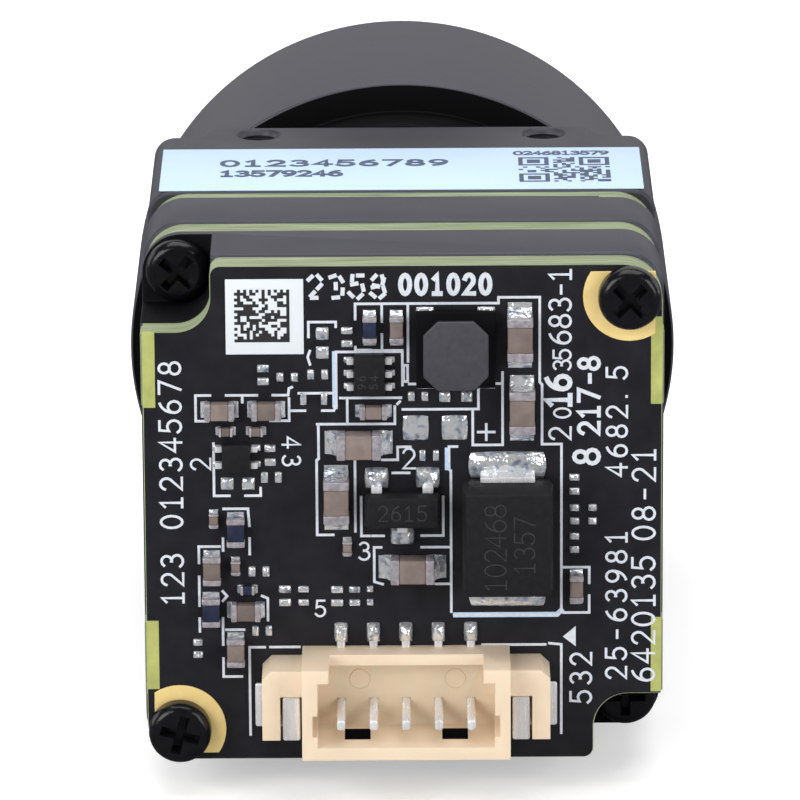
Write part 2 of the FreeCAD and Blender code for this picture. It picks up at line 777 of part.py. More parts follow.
def make_detector():
    half, reach = "(package_width / 2)", "(window_width / 2)"
    top = "(%s + package_height)" % HOUSING_REAR
    inner = "(%s - package_wall)" % half
    tray = block("package_block", "-" + half, half, HOUSING_REAR, top, "-" + half, half)
    room = block("package_room", "-" + inner, inner, "%s + package_height / 2" % HOUSING_REAR, top,
                 "-" + inner, inner)
    keep(cut("package_form", tray, [room]), "detector_package")
    pane = block("window_pane", "-" + reach, reach, top, "%s + window_height" % top, "-" + reach, reach)
    edge = "%s + window_height" % top
    front = amount(edge)
    keep(rounded("window_form", pane, "edge_break",
                 lambda edge, middle: abs(middle.y - front) < 1e-6, "Part::Chamfer"), "detector_window")


# Shutter: a plate on the housing's ledge, a motor in front of it and a swinging blade behind

def make_shutter(ledge):
    rear = "(%s - shutter_plate_thick)" % ledge
    half = "(cavity_half - bore_clearance)"
    plate = block("shutter_plate_block", "-" + half, half, rear, ledge, "-" + half, half)
    corners = corner_rods("plate_corner", "boss_radius + bore_clearance", rear, ledge)
    aperture = rod("plate_aperture", "aperture_radius", rear, ledge)
    pass_hole = rod("plate_shaft_hole", "shaft_radius + shank_clearance", rear, ledge, "pivot_x", "pivot_z")
    keep(cut("shutter_plate_form", plate, corners + [aperture, pass_hole]), "shutter_plate")

    blade_front = "(%s - blade_gap)" % rear
    blade_rear = "(%s - blade_thick)" % blade_front
    body = new_body("shutter_blade_body")
    leaf = new_sketch(body, "XZ_Plane", "blade_leaf", "-%s" % blade_rear)
    draw_circle(leaf, "blade_park", "blade_park", "blade_radius")
    grow(body, leaf, "blade_thick")
    # the arm is a straight bar from the leaf to the hub, widening to the hub
    arm = new_sketch(body, "XZ_Plane", "blade_arm", "-%s" % blade_rear)
    run_x, run_z = "(pivot_x - blade_park)", "(pivot_z - blade_park)"
    span = "sqrt(%s * %s + %s * %s)" % (run_x, run_x, run_z, run_z)
    side_x, side_z = "(hub_radius * %s / %s)" % (run_z, span), "(hub_radius * %s / %s)" % (run_x, span)
    draw_outline(arm, (
        ("blade_park - %s" % side_x, "blade_park + %s" % side_z),
        ("pivot_x - %s" % side_x, "pivot_z + %s" % side_z),
        ("pivot_x + %s" % side_x, "pivot_z - %s" % side_z),
        ("blade_park + %s" % side_x, "blade_park - %s" % side_z),
    ))
    grow(body, arm, "blade_thick")
    hub = new_sketch(body, "XZ_Plane", "blade_hub", "-%s" % blade_rear)
    draw_circle(hub, "pivot_x", "pivot_z", "hub_radius")
    grow(body, hub, "blade_thick")
    eye = new_sketch(body, "XZ_Plane", "blade_eye", "-%s" % blade_rear)
    draw_circle(eye, "pivot_x", "pivot_z", "shaft_radius + thread_clearance")
    grow(body, eye, "blade_thick", "PartDesign::Pocket", True)
    keep(body, "shutter_blade")

    shaft = turned_piece("shutter_shaft_body", (
        ("-collar_height", "0"),
        ("-collar_height", "2 * shaft_radius"),
        ("0", "2 * shaft_radius"),
        ("0", "shaft_radius"),
        ("blade_thick + blade_gap + shutter_plate_thick + shaft_reach", "shaft_radius"),
        ("blade_thick + blade_gap + shutter_plate_thick + shaft_reach", "0"),
    ))
    keep(at(shaft, "pivot_x", blade_rear, "pivot_z"), "shutter_shaft")

    motor = rod("motor_case", "motor_radius", ledge, "%s + motor_length" % ledge, "pivot_x", "pivot_z")
    bearing = rod("motor_bearing", "shaft_radius + bore_clearance", ledge,
                  "%s + shaft_reach + bore_clearance" % ledge, "pivot_x", "pivot_z")
    front = amount("%s + motor_length" % ledge)
    case = rounded("motor_end", motor, "head_round",
                   lambda edge, middle: abs(middle.y - front) < 1e-6 and len(edge.Vertexes) == 1,
                   "Part::Chamfer")
    keep(cut("motor_form", case, [bearing]), "shutter_motor")


# Board-to-board connectors and the chips between the boards

def make_stack():
    def header(name, side_x, rear, front, base_at_rear):
        """A socket on the board at its rear, or the plug that enters it from the board in front."""
        centre_z = "%d * stack_offset" % side_x
        long, wide = "(stack_length / 2)", "(stack_width / 2)"
        low, high = "%s - %s" % (centre_z, wide), "%s + %s" % (centre_z, wide)
        if base_at_rear:
            shell = block(name + "_shell", "-" + long, long, rear, front, low, high)
            room = block(name + "_room", "-%s + stack_wall" % long, "%s - stack_wall" % long,
                         "%s + stack_base" % rear, front, low + " + stack_wall", high + " - stack_wall")
            keep(cut(name + "_form", shell, [room]), name)
            return
        foot = block(name + "_foot", "-" + long, long, "%s - stack_base" % front, front, low, high)
        gap = "(stack_wall + bore_clearance)"
        tongue = block(name + "_tongue", "-%s + %s" % (long, gap), "%s - %s" % (long, gap),
                       "%s + stack_base" % rear, "%s - stack_base" % front,
                       "%s + %s" % (low, gap), "%s - %s" % (high, gap))
        keep(fuse(name + "_form", [foot, tongue]), name)

    levels = (("rear", 1, REAR_FRAME_REAR, MIDDLE_REAR), ("front", -1, MIDDLE_FRAME_REAR, SENSOR_REAR))
    for place, side, rear, front in levels:
        header(place + "_stack_socket", side, rear, "(%s - stack_base)" % front, True)
        header(place + "_stack_plug", side, rear, front, False)

    def chip(name, length, width, height, z, board, toward_front):
        """A chip on the board face at a station, standing towards the lens or away from it."""
        start = board if toward_front else "(%s - %s)" % (board, height)
        case = block(name + "_block", "-%s / 2" % length, "%s / 2" % length,
                     start, "%s + %s" % (start, height),
                     "%s - %s / 2" % (z, width), "%s + %s / 2" % (z, width))
        face = amount("%s + %s" % (start, height) if toward_front else start)
        keep(rounded(name + "_form", case, "edge_break",
                     lambda edge, middle: abs(middle.y - face) < 1e-6, "Part::Chamfer"), name)

    chip("image_processor", "processor_width", "processor_width", "processor_height", "processor_z",
         MIDDLE_FRAME_REAR, True)
    chip("memory_chip", "memory_length", "memory_width", "memory_height", "memory_z", MIDDLE_REAR, False)


# Header on the rear board: an open-topped shell with ears, pins and solder nails

def make_connector():
    left, right = "(connector_x - shell_width / 2)", "(connector_x + shell_width / 2)"
    top, bottom = "connector_top", "(connector_top - shell_tall)"

    # sketches lie on the board's rear face; pads grow away from the board
    body = new_body("connector_housing_body")
    body.setExpression(".Placement.Base.y", tie(BOARD_REAR))

    def pad(name, height, *sides):
        sketch = new_sketch(body, "XZ_Plane", name)
        draw_box(sketch, *sides)
        return grow(body, sketch, height, forward=False)

    def pocket(name, level, *sides):
        """Removes everything above a level inside four sides."""
        sketch = new_sketch(body, "XZ_Plane", name, "shell_height")
        draw_box(sketch, *sides)
        return grow(body, sketch, "shell_height - (%s)" % level, "PartDesign::Pocket", True)

    pad("shell", "shell_height", left, right, bottom, top)
    ear_top = "(connector_top - ear_drop)"
    ear_bottom = "(%s - ear_tall)" % ear_top
    pad("ears", "ear_height", left + " - ear_width", right + " + ear_width", ear_bottom, ear_top)
    pocket("socket", "shell_floor", left + " + shell_side_wall", right + " - shell_side_wall",
           bottom + " + shell_bottom_wall", top + " - corner_block_tall")
    pocket("gate_floor", "shell_floor", left + " + corner_block_width", right + " - corner_block_width",
           top + " - corner_block_tall", top + " - shell_top_wall")
    pocket("gate", "low_wall_height", left + " + corner_block_width", right + " - corner_block_width",
           top + " - shell_top_wall", top)
    key_high = "(connector_top - key_drop)"
    pocket("keyways", "shell_floor", left + " + shell_side_wall - key_depth",
           right + " - shell_side_wall + key_depth", key_high + " - key_tall", key_high)
    slot_wide = "ear_slot_width"
    for name, inner, direction in (("left_nail_slot", left, -1), ("right_nail_slot", right, 1)):
        sides = ((inner + " - " + slot_wide, inner) if direction < 0 else (inner, inner + " + " + slot_wide))
        sketch = new_sketch(body, "XZ_Plane", name, "ear_height")
        draw_box(sketch, sides[0], sides[1], ear_bottom, ear_top + " - ear_slot_drop")
        grow(body, sketch, "ear_height", "PartDesign::Pocket", True)

    # lock windows through the bottom wall between the outer pairs of pins
    for name, side in (("left_window", -1), ("right_window", 1)):
        middle = "(connector_x + %d * 1.5 * pin_spacing)" % side
        sketch = new_sketch(body, "XY_Plane", name, bottom)
        draw_box(sketch, middle + " - window_wide / 2", middle + " + window_wide / 2", "-window_end",
                 "-window_start")
        grow(body, sketch, "shell_bottom_wall", "PartDesign::Pocket", False)

    # holes for the posts, and channels on the board side for the tails and the nail feet
    pin_top = "(connector_top - pin_drop)"
    posts = new_sketch(body, "XZ_Plane", "post_holes", "shell_height")
    tails = new_sketch(body, "XZ_Plane", "tail_channels")
    for number in range(-2, 3):
        centre = "(connector_x + %d * pin_spacing)" % number
        near, far = centre + " - pin_width / 2", centre + " + pin_width / 2"
        draw_box(posts, near, far, pin_top + " - pin_tall", pin_top)
        draw_box(tails, near, far, pin_top + " - pin_tall", top + " + " + CUT_PAST)
    grow(body, posts, "shell_height", "PartDesign::Pocket", True)
    grow(body, tails, "pad_thick + tail_thick", "PartDesign::Pocket", False)
    feet = new_sketch(body, "XZ_Plane", "foot_channels")
    foot_high = "(%s - ear_slot_drop - bore_clearance)" % ear_top
    past_ear = "ear_width + " + CUT_PAST
    for near, far in (("%s - (%s)" % (left, past_ear), left), (right, "%s + %s" % (right, past_ear))):
        draw_box(feet, near, far, foot_high + " - nail_tall", foot_high)
    grow(body, feet, "pad_thick + tail_thick", "PartDesign::Pocket", False)

    outer = [amount(left + " - ear_width"), amount(right + " + ear_width")]
    soften(body, "ear_corners", "ear_chamfer",
           lambda edge, middle: runs_along_axis(edge, middle) and abs(middle.z - amount(ear_top)) < 1e-6
           and min(abs(middle.x - side) for side in outer) < 1e-6, "PartDesign::Chamfer")
    keep(body, "connector_housing")

    # pins: a straight post through the floor and a flat tail to the board
    pins = []
    for number in range(-2, 3):
        centre = "(connector_x + %d * pin_spacing)" % number
        post = block("pin_post_%d" % (number + 2), centre + " - pin_width / 2", centre + " + pin_width / 2",
                     "%s - pin_height" % BOARD_REAR, "%s - pad_thick" % BOARD_REAR,
                     pin_top + " - pin_tall", pin_top)
        tail = block("pin_tail_%d" % (number + 2), centre + " - pin_width / 2", centre + " + pin_width / 2",
                     "%s - pad_thick - tail_thick" % BOARD_REAR, "%s - pad_thick" % BOARD_REAR,
                     pin_top, "connector_top + tail_reach")
        pins.append(fuse("pin_%d" % (number + 2), [post, tail]))
    keep(group("connector_pins_form", pins), "connector_pins")


def make_nails():
    left, right = "(connector_x - shell_width / 2)", "(connector_x + shell_width / 2)"
    ear_bottom = "(connector_top - ear_drop - ear_tall)"
    high = "(connector_top - ear_drop - ear_slot_drop - bore_clearance)"
    low = "(%s - nail_tall)" % high
    nails = []
    for name, side in (("left", -1), ("right", 1)):
        inner = left if side < 0 else right
        near = "(%s + %d * (ear_slot_width - nail_width) / 2)" % (inner, side)
        far = "(%s + %d * nail_width)" % (near, side)
        foot = "(%s + %d * (ear_width + nail_foot))" % (inner, side)
        sides = sorted((near, far), key=amount)
        upright = block(name + "_nail_upright", sides[0], sides[1],
                        "%s - ear_height + edge_break" % BOARD_REAR, "%s - pad_thick" % BOARD_REAR, low, high)
        sides = sorted((near, foot), key=amount)
        flat = block(name + "_nail_foot", sides[0], sides[1], "%s - pad_thick - tail_thick" % BOARD_REAR,
                     "%s - pad_thick" % BOARD_REAR, low, high)
        nails.append(fuse(name + "_nail", [upright, flat]))
    keep(group("connector_nails_form", nails), "connector_nails")


# Small parts soldered to the rear board

SEAT = "(%s - pad_thick)" % BOARD_REAR

# Each entry: size class, centre X, centre Z, and whether it stands upright on the board
CAPACITORS = (
    ("large", -2.58, 0.70, True), ("large", -1.70, 2.93, False), ("large", 0.35, -2.12, False),
    ("large", 4.52, 7.20, True), ("large", 4.60, 4.28, True),
    ("medium", -7.05, 4.28, False), ("medium", -5.25, 4.28, False), ("medium", -7.42, -2.15, True),
    ("medium", -6.12, -3.85, False), ("medium", -6.53, -5.50, True),
    ("small", -0.22, 7.52, True), ("small", -1.12, 4.20, False), ("small", 6.70, -2.98, True),
    ("tiny", -7.33, -0.15, True), ("tiny", -6.50, -2.08, True), ("tiny", -2.17, -1.30, True),
    ("tiny", -6.82, 3.42, False), ("tiny", -5.65, 3.42, False),
)
RESISTORS = (
    ("small", -1.25, 7.52, True), ("medium", -6.48, -0.60, True), ("medium", -7.47, -3.85, True),
    ("tiny", -6.05, -3.00, False),
)
# Bare pad pairs: centre X, centre Z, pad width, pad height, half gap, and whether the pair is upright
BARE_PAIRS = (
    (-3.07, 6.92, 0.50, 0.50, 0.38, True), (-3.26, 5.66, 0.27, 0.40, 0.27, False),
    (-5.36, 5.65, 0.46, 0.30, 0.26, True), (-4.43, 5.56, 0.28, 0.36, 0.28, False),
    (-3.42, 4.68, 0.25, 0.50, 0.40, False), (0.60, 4.76, 0.27, 0.38, 0.26, False),
    (2.05, 4.74, 0.44, 0.42, 0.42, False), (1.02, 2.38, 0.24, 0.44, 0.26, False),
    (-6.38, 1.28, 0.50, 0.50, 0.41, False), (-5.08, 1.52, 0.28, 0.44, 0.27, False),
    (-5.12, 2.42, 0.44, 0.30, 0.28, True), (-5.60, -2.30, 0.28, 0.42, 0.27, False),
    (-4.60, -3.30, 0.48, 0.30, 0.27, True), (-3.88, -3.30, 0.42, 0.26, 0.27, True),
    (-2.58, -3.32, 0.48, 0.28, 0.27, True), (-1.90, -3.32, 0.44, 0.26, 0.27, True),
    (-1.30, -3.30, 0.26, 0.26, 0.27, True), (-5.50, -4.72, 0.26, 0.42, 0.26, False),
    (-8.00, -5.43, 0.38, 0.28, 0.25, True), (-2.12, 7.15, 0.46, 0.28, 0.26, True),
    (6.62, 1.18, 0.40, 0.28, 0.28, True), (6.62, -0.04, 0.38, 0.28, 0.27, True),
    (7.32, -0.04, 0.34, 0.28, 0.27, True), (6.62, -1.20, 0.38, 0.28, 0.27, True),
)


def board_block(name, x, z, wide, tall, base, height):
    """A block on the rear face: centre, extent in X and Z, base level and height above it."""
    return block(name, "(%s) - (%s) / 2" % (x, wide), "(%s) + (%s) / 2" % (x, wide),
                 "(%s) - (%s)" % (base, height), base,
                 "(%s) - (%s) / 2" % (z, tall), "(%s) + (%s) / 2" % (z, tall))


def chip_part(name, kind, x, z, upright, pads):
    """The middle and the two metal ends of a two-terminal part, and its pads."""
    length, width, height, margin = (kind + word for word in ("_length", "_width", "_height", "_margin"))
    end = "(%s * end_share)" % length
    middle_span = "(%s - 2 * %s)" % (length, end)
    proud = "2 * part_ends_proud"
    shift = "((%s - %s) / 2)" % (length, end)
    pad_shift = "((%s + %s - %s) / 2)" % (length, margin, end)
    pieces = []
    if upright:
        core = board_block(name + "_core", x, z, width, middle_span, SEAT, height)
    else:
        core = board_block(name + "_core", x, z, middle_span, width, SEAT, height)
    for side in (-1, 1):
        across = "%s + %s" % (width, proud)
        label = "%s_end_%d" % (name, side + 1)
        pad_long = "%s + %s" % (end, margin)
        if upright:
            place = "%s + %d * %s" % (z, side, shift)
            pieces.append(board_block(label, x, place, across, end, SEAT, height + " + part_ends_proud"))
            place = "%s + %d * %s" % (z, side, pad_shift)
            pads.append(board_block(label + "_pad", x, place, width, pad_long, BOARD_REAR, "pad_thick"))
        else:
            place = "%s + %d * %s" % (x, side, shift)
            pieces.append(board_block(label, place, z, end, across, SEAT, height + " + part_ends_proud"))
            place = "%s + %d * %s" % (x, side, pad_shift)
            pads.append(board_block(label + "_pad", place, z, pad_long, width, BOARD_REAR, "pad_thick"))
    return core, pieces


def moulded_body(name, x, z, wide, tall, height):
    """A moulded package whose four sides lean in both ways from a parting line at half height."""
    body = new_body(name + "_body")
    body.setExpression(".Placement.Base.y", tie(SEAT))
    for half, upward in (("upper", True), ("lower", False)):
        sketch = new_sketch(body, "XZ_Plane", "%s_%s" % (name, half), "%s / 2" % height)
        draw_box(sketch, "%s - %s / 2" % (x, wide), "%s + %s / 2" % (x, wide),
                 "%s - %s / 2" % (z, tall), "%s + %s / 2" % (z, tall))
        pad = grow(body, sketch, "%s / 2" % height, forward=not upward)
        pad.setExpression("TaperAngle", tie("-mould_draft"))
    return keep(body, name)


def bent_lead(name, x, z, side, width, level, reach, body_half):
    """A lead that leaves a package at a level, drops to its pad and turns outwards by its reach again."""
    start, knee, toe = body_half, "%s + %s" % (body_half, reach), "%s + 2 * %s" % (body_half, reach)

    def bar(label, inner, outer, low, high):
        middle = "(%d * ((%s) + (%s)) / 2)" % (side, inner, outer)
        span = "((%s) - (%s))" % (outer, inner)
        base = "(%s - (%s))" % (SEAT, low)
        return board_block(label, x, "%s + %s" % (z, middle), width, span, base,
                           "(%s) - (%s)" % (high, low))

    return fuse(name, [bar(name + "_shoulder", start, knee, "%s - lead_thick" % level, level),
                       bar(name + "_leg", "%s - lead_thick" % knee, knee, "0", level),
                       bar(name + "_foot", "%s - lead_thick" % knee, toe, "0", "lead_thick")])


def make_small_parts():
    pads = []
    for title, parts in (("capacitor", CAPACITORS), ("resistor", RESISTORS)):
        cores, ends = [], []
        for number, (kind, x, z, upright) in enumerate(parts):
            core, pieces = chip_part("%s_%d" % (title, number), kind, x, z, upright, pads)
            cores.append(core)
            ends += pieces
        keep(group(title + "_cores", cores), title + "_bodies")
        keep(group(title + "_caps", ends), title + "_ends")

    # surge diode: a tapered block with a broad lead at each end
    moulded_body("surge_diode", "diode_x", "diode_z", "diode_width", "diode_length", "diode_height")
    leads = [bent_lead("diode_lead_%d" % (side + 1), "diode_x", "diode_z", side, "diode_lead_width",
                       "diode_height / 2", "diode_lead_reach / 2", "diode_length / 2")
             for side in (-1, 1)]
    keep(group("diode_leads", leads), "surge_diode_leads")
    for side in (-1, 1):
        pads.append(board_block("diode_pad_%d" % (side + 1), "diode_x",
                                "diode_z + %d * (diode_length / 2 + diode_lead_reach - pad_thick)" % side,
                                "diode_lead_width + 2 * diode_pad_margin", "diode_pad_length", BOARD_REAR,
                                "pad_thick"))

    # transistor: two leads above, one below
    moulded_body("power_transistor", "transistor_x", "transistor_z", "transistor_length", "transistor_width",
                 "transistor_height")
    leads = []
    for number, (slot, side) in enumerate(((-1, 1), (1, 1), (0, -1))):
        x = "(transistor_x + %d * transistor_spacing / 2)" % slot
        leads.append(bent_lead("transistor_lead_%d" % number, x, "transistor_z", side,
                               "transistor_lead_width", "transistor_height / 2", "transistor_lead_reach / 2",
                               "transistor_width / 2"))
        pad_out = "(transistor_width / 2 + transistor_lead_reach - pad_thick)"
        pads.append(board_block("transistor_pad_%d" % number, x, "transistor_z + %d * %s" % (side, pad_out),
                                "transistor_lead_width + 2 * transistor_pad_margin", "transistor_pad_length",
                                BOARD_REAR, "pad_thick"))
    keep(group("transistor_leads_form", leads), "power_transistor_leads")

    # two small chips with flat leads to the left and right
    def flat_chip(name, key, rows):
        moulded_body(name, key + "_x", key + "_z", key + "_width", key + "_length", key + "_height")
        leads = []
        for side in (-1, 1):
            for row in rows:
                z = "(%s_z + %s * %s_spacing)" % (key, row, key)
                x = "(%s_x + %d * (%s_width / 2 + flat_lead_reach / 2))" % (key, side, key)
                label = "%s_lead_%d_%d" % (name, side + 1, len(leads))
                leads.append(board_block(label, x, z, "flat_lead_reach", "flat_lead_width",
                                         "(%s - %s_height / 2 + lead_thick)" % (SEAT, key), "lead_thick"))
                pads.append(board_block(label + "_pad", x + " + %d * pad_thick" % side, z,
                                        "flat_lead_reach + 2 * pad_thick", "flat_lead_width", BOARD_REAR,
                                        "pad_thick"))
        keep(group(name + "_leads_form", leads), name + "_leads")

    flat_chip("regulator", "regulator", (-1, 0, 1))
    flat_chip("load_switch", "switch", (-0.5, 0.5))

    # power inductor: a square foot, a round waist and an eight-sided top flange
    foot = board_block("inductor_foot", "inductor_x", "inductor_z", "inductor_width", "inductor_width", SEAT,
                       "inductor_flange")
    waist_rear = "(%s - inductor_height + inductor_flange)" % SEAT
    waist_front = "(%s - inductor_flange)" % SEAT
    waist = rod("inductor_waist", "inductor_core_radius", waist_rear, waist_front, "inductor_x", "inductor_z")
    top = board_block("inductor_top", "inductor_x", "inductor_z", "inductor_top_width", "inductor_top_length",
                      waist_rear, "inductor_flange")
    flange = rounded("inductor_octagon", top, "inductor_corner", runs_along_axis, "Part::Chamfer")
    keep(fuse("inductor_form", [foot, waist, flange]), "power_inductor")
    coil = rod("winding_outer", "inductor_core_radius + winding_thick", waist_rear, waist_front,
               "inductor_x", "inductor_z")
    core = rod("winding_inner", "inductor_core_radius", waist_rear, waist_front, "inductor_x", "inductor_z")
    keep(cut("winding_form", coil, [core]), "inductor_winding")
    for side in (-1, 1):
        for rise in (-1, 1):
            pads.append(board_block("inductor_pad_%d_%d" % (side + 1, rise + 1),
                                    "inductor_x + %d * (inductor_width - inductor_pad_length) / 2" % side,
                                    "inductor_z + %d * (inductor_width / 2 - pad_thick)" % rise,
                                    "inductor_pad_length", "inductor_pad_width", BOARD_REAR, "pad_thick"))

    # pads of the connector, the two big bare squares and the unfitted places
    for number in range(-2, 3):
        pads.append(board_block("pin_pad_%d" % (number + 2), "connector_x + %d * pin_spacing" % number,
                                "connector_top + tail_reach", "pin_width + 2 * pin_pad_margin",
                                "pin_pad_length", BOARD_REAR, "pad_thick"))
    for side in (-1, 1):
        x = "bare_pad_x + %d * bare_pad_spacing / 2" % side
        pads.append(board_block("bare_square_%d" % (side + 1), x, "bare_pad_z", "bare_pad_width",
                                "bare_pad_width", BOARD_REAR, "pad_thick"))
    for number, (x, z, wide, tall, gap, upright) in enumerate(BARE_PAIRS):
        for side in (-1, 1):
            pair_x = x if upright else x + side * gap
            pair_z = z + side * gap if upright else z
            pads.append(board_block("pair_%d_%d" % (number, side + 1), pair_x, pair_z, wide, tall,
                                    BOARD_REAR, "pad_thick"))
    keep(group("solder_pads_form", pads), "solder_pads")

    sticker = block("sticker_form", "sticker_left", "sticker_left + sticker_width",
                    "%s - sticker_thick" % BOARD_REAR, BOARD_REAR,
                    "sticker_low", "sticker_low + sticker_width")
    keep(sticker, "code_sticker")


make_lens()
ledge_front = make_housing()
make_boards()
make_screws()
make_detector()
make_shutter(ledge_front)
make_stack()
make_connector()
make_nails()
make_small_parts()

# Every object is checked before any file is written
doc.recompute()
faults = [item.Name for item in doc.Objects if "Invalid" in item.State or "Error" in item.State]
for piece in hand_in:
    if piece.Shape.isNull() or not piece.Shape.isValid() or piece.Shape.Volume <= 0:
        faults.append(piece.Label)
if faults:
    raise RuntimeError("pieces that failed: " + ", ".join(faults))

os.makedirs("parts", exist_ok=True)
for piece in hand_in:
    piece.Shape.exportStep("parts/%s.step" % piece.Label)
print(len(hand_in), "sub-parts written")
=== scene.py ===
import json
import math
import random

import bmesh
import bpy
from mathutils import Matrix, Vector


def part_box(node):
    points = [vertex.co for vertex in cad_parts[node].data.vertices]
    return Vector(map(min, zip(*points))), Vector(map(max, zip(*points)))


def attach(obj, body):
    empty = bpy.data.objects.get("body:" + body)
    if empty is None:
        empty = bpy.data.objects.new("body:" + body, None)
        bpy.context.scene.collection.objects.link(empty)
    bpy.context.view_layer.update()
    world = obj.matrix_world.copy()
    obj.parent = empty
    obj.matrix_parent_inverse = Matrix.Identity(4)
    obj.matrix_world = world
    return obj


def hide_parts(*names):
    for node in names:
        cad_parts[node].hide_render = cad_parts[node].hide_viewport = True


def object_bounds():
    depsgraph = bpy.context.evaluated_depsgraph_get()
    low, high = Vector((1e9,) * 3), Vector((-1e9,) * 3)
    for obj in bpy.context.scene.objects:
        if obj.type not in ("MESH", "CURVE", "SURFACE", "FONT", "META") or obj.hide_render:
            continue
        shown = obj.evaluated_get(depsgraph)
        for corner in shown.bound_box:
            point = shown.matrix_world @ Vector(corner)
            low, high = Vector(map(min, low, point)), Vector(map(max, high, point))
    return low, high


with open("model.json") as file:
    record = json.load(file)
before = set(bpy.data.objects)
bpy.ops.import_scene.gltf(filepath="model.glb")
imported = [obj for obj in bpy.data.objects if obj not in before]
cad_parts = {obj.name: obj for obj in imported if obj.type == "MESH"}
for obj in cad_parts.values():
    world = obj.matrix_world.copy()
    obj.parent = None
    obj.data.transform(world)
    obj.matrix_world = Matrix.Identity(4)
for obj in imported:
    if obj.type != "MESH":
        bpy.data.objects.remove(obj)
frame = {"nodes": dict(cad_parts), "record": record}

CAD_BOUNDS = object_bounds()
# Lengths are in millimetres from here on, and become metres when a mesh is made
MM = 0.001
MODULE = "module"
# Vertices of a CAD mesh nearer than this, in metres, are one
WELD = 1e-7
SMOOTH_ANGLE = math.radians(35)
SOLDER_ANGLE = math.radians(60)
BEVEL_ANGLE = math.radians(30)
FULL_TURN = 2 * math.pi

scene = bpy.context.scene
scene.view_settings.view_transform = "Standard"


def box_mm(node):
    """A CAD node's low and high corners in millimetres."""
    low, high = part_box(node)
    return low / MM, high / MM


# Places worked out from the frame; the optical axis is Y and the lens's wide shoulder is at 0
SHOULDER = 0.0
BOARD_FACE = box_mm("rear_board")[0].y
HOUSING_TOP = box_mm("front_housing")[1].z
HOUSING_FRONT = box_mm("front_housing")[1].y
BOARD_HALF = box_mm("middle_board")[1].x
LONG_CORNERS = ((1, 1), (-1, -1))
SHORT_CORNERS = ((-1, 1), (1, -1))


# Node materials

class Shader:
    """A small builder for the nodes of a material or of the world, whose surface is a node's name."""

    def __init__(self, owner, surface="Principled BSDF"):
        owner.use_nodes = True
        self.owner = owner
        self.nodes = owner.node_tree.nodes
        self.links = owner.node_tree.links
        self.surface = self.nodes[surface]

    def add(self, kind, **values):
        """A node with its sockets or settings filled in."""
        node = self.nodes.new(kind)
        for key, value in values.items():
            if key in node.inputs:
                node.inputs[key].default_value = value
            else:
                setattr(node, key, value)
        return node

    def link(self, source, target):
        """Joins an output to a socket, or to the surface's socket of that name."""
        if isinstance(target, str):
            target = self.surface.inputs[target]
        self.links.new(source, target)

    def set(self, **values):
        """Constant values on the surface's own sockets."""
        for key, value in values.items():
            self.surface.inputs[key.replace("_", " ")].default_value = value

    def noise(self, per_mm, detail=4.0, stretch=(1, 1, 1)):
        """A noise texture whose grain is given per millimetre."""
        mapping = self.add("ShaderNodeMapping")
        mapping.inputs["Scale"].default_value = [s * per_mm / MM for s in stretch]
        self.link(self.add("ShaderNodeTexCoord").outputs["Object"], mapping.inputs["Vector"])
        texture = self.add("ShaderNodeTexNoise", Scale=1.0, Detail=detail, Roughness=0.5)
        self.link(mapping.outputs["Vector"], texture.inputs["Vector"])
        return texture.outputs["Fac"]

    def ramp(self, fac, stops):
        """A colour ramp through (position, colour) stops."""
        ramp = self.add("ShaderNodeValToRGB")
        band = ramp.color_ramp
        while len(band.elements) < len(stops):
            band.elements.new(0.5)
        for element, (where, colour) in zip(band.elements, stops):
            element.position = where
            element.color = tuple(colour) + (1.0,)
        self.link(fac, ramp.inputs["Fac"])
        return ramp.outputs["Color"]

    def spread(self, fac, low, high):
        """Maps a 0 to 1 value to a range."""
        node = self.add("ShaderNodeMapRange")
        node.inputs["To Min"].default_value = low
        node.inputs["To Max"].default_value = high
        self.link(fac, node.inputs["Value"])
        return node.outputs["Result"]

    def bump(self, height, strength, depth_mm):
        """Fine relief from a height value."""
        node = self.add("ShaderNodeBump", Strength=strength, Distance=depth_mm * MM)
        self.link(height, node.inputs["Height"])
        self.link(node.outputs["Normal"], "Normal")

    def number(self, operation, first, second=0.0):
        """A math node fed with sockets or plain values."""
        node = self.add("ShaderNodeMath", operation=operation)
        for socket, value in zip(node.inputs, (first, second)):
            if isinstance(value, float):
                socket.default_value = value
            else:
                self.link(value, socket)
        return node.outputs[0]

    def mix(self, factor, first, second):
        """The first colour where the factor is 0 and the second where it is 1."""
        node = self.add("ShaderNodeMix", data_type="RGBA")
        self.link(factor, node.inputs["Factor"])
        for socket, value in (("A", first), ("B", second)):
            if isinstance(value, tuple):
                node.inputs[socket].default_value = value + (1.0,)
            else:
                self.link(value, node.inputs[socket])
        return node.outputs["Result"]

    def inside(self, boxes):
        """A mask that is 1 within any of the boxes, each a low and a high corner in millimetres."""
        place = self.add("ShaderNodeSeparateXYZ")
        self.link(self.add("ShaderNodeNewGeometry").outputs["Position"], place.inputs[0])
        mask = 0.0
        for low, high in boxes:
            within = 1.0
            for axis, start, stop in zip("XYZ", low * MM, high * MM):
                after = self.number("GREATER_THAN", place.outputs[axis], start)
                before = self.number("LESS_THAN", place.outputs[axis], stop)
                within = self.number("MULTIPLY", within, self.number("MULTIPLY", after, before))
            mask = self.number("MAXIMUM", mask, within)
        return mask


def new_material(name):
    """The builder of a new material."""
    return Shader(bpy.data.materials.new(name))


# The tone of dark zones, painted shade in recesses and the inductor's black lacquer, and how little they
# gleam
ZONE_COLOUR, ZONE_GLEAM = (0.006, 0.006, 0.008), 0.05
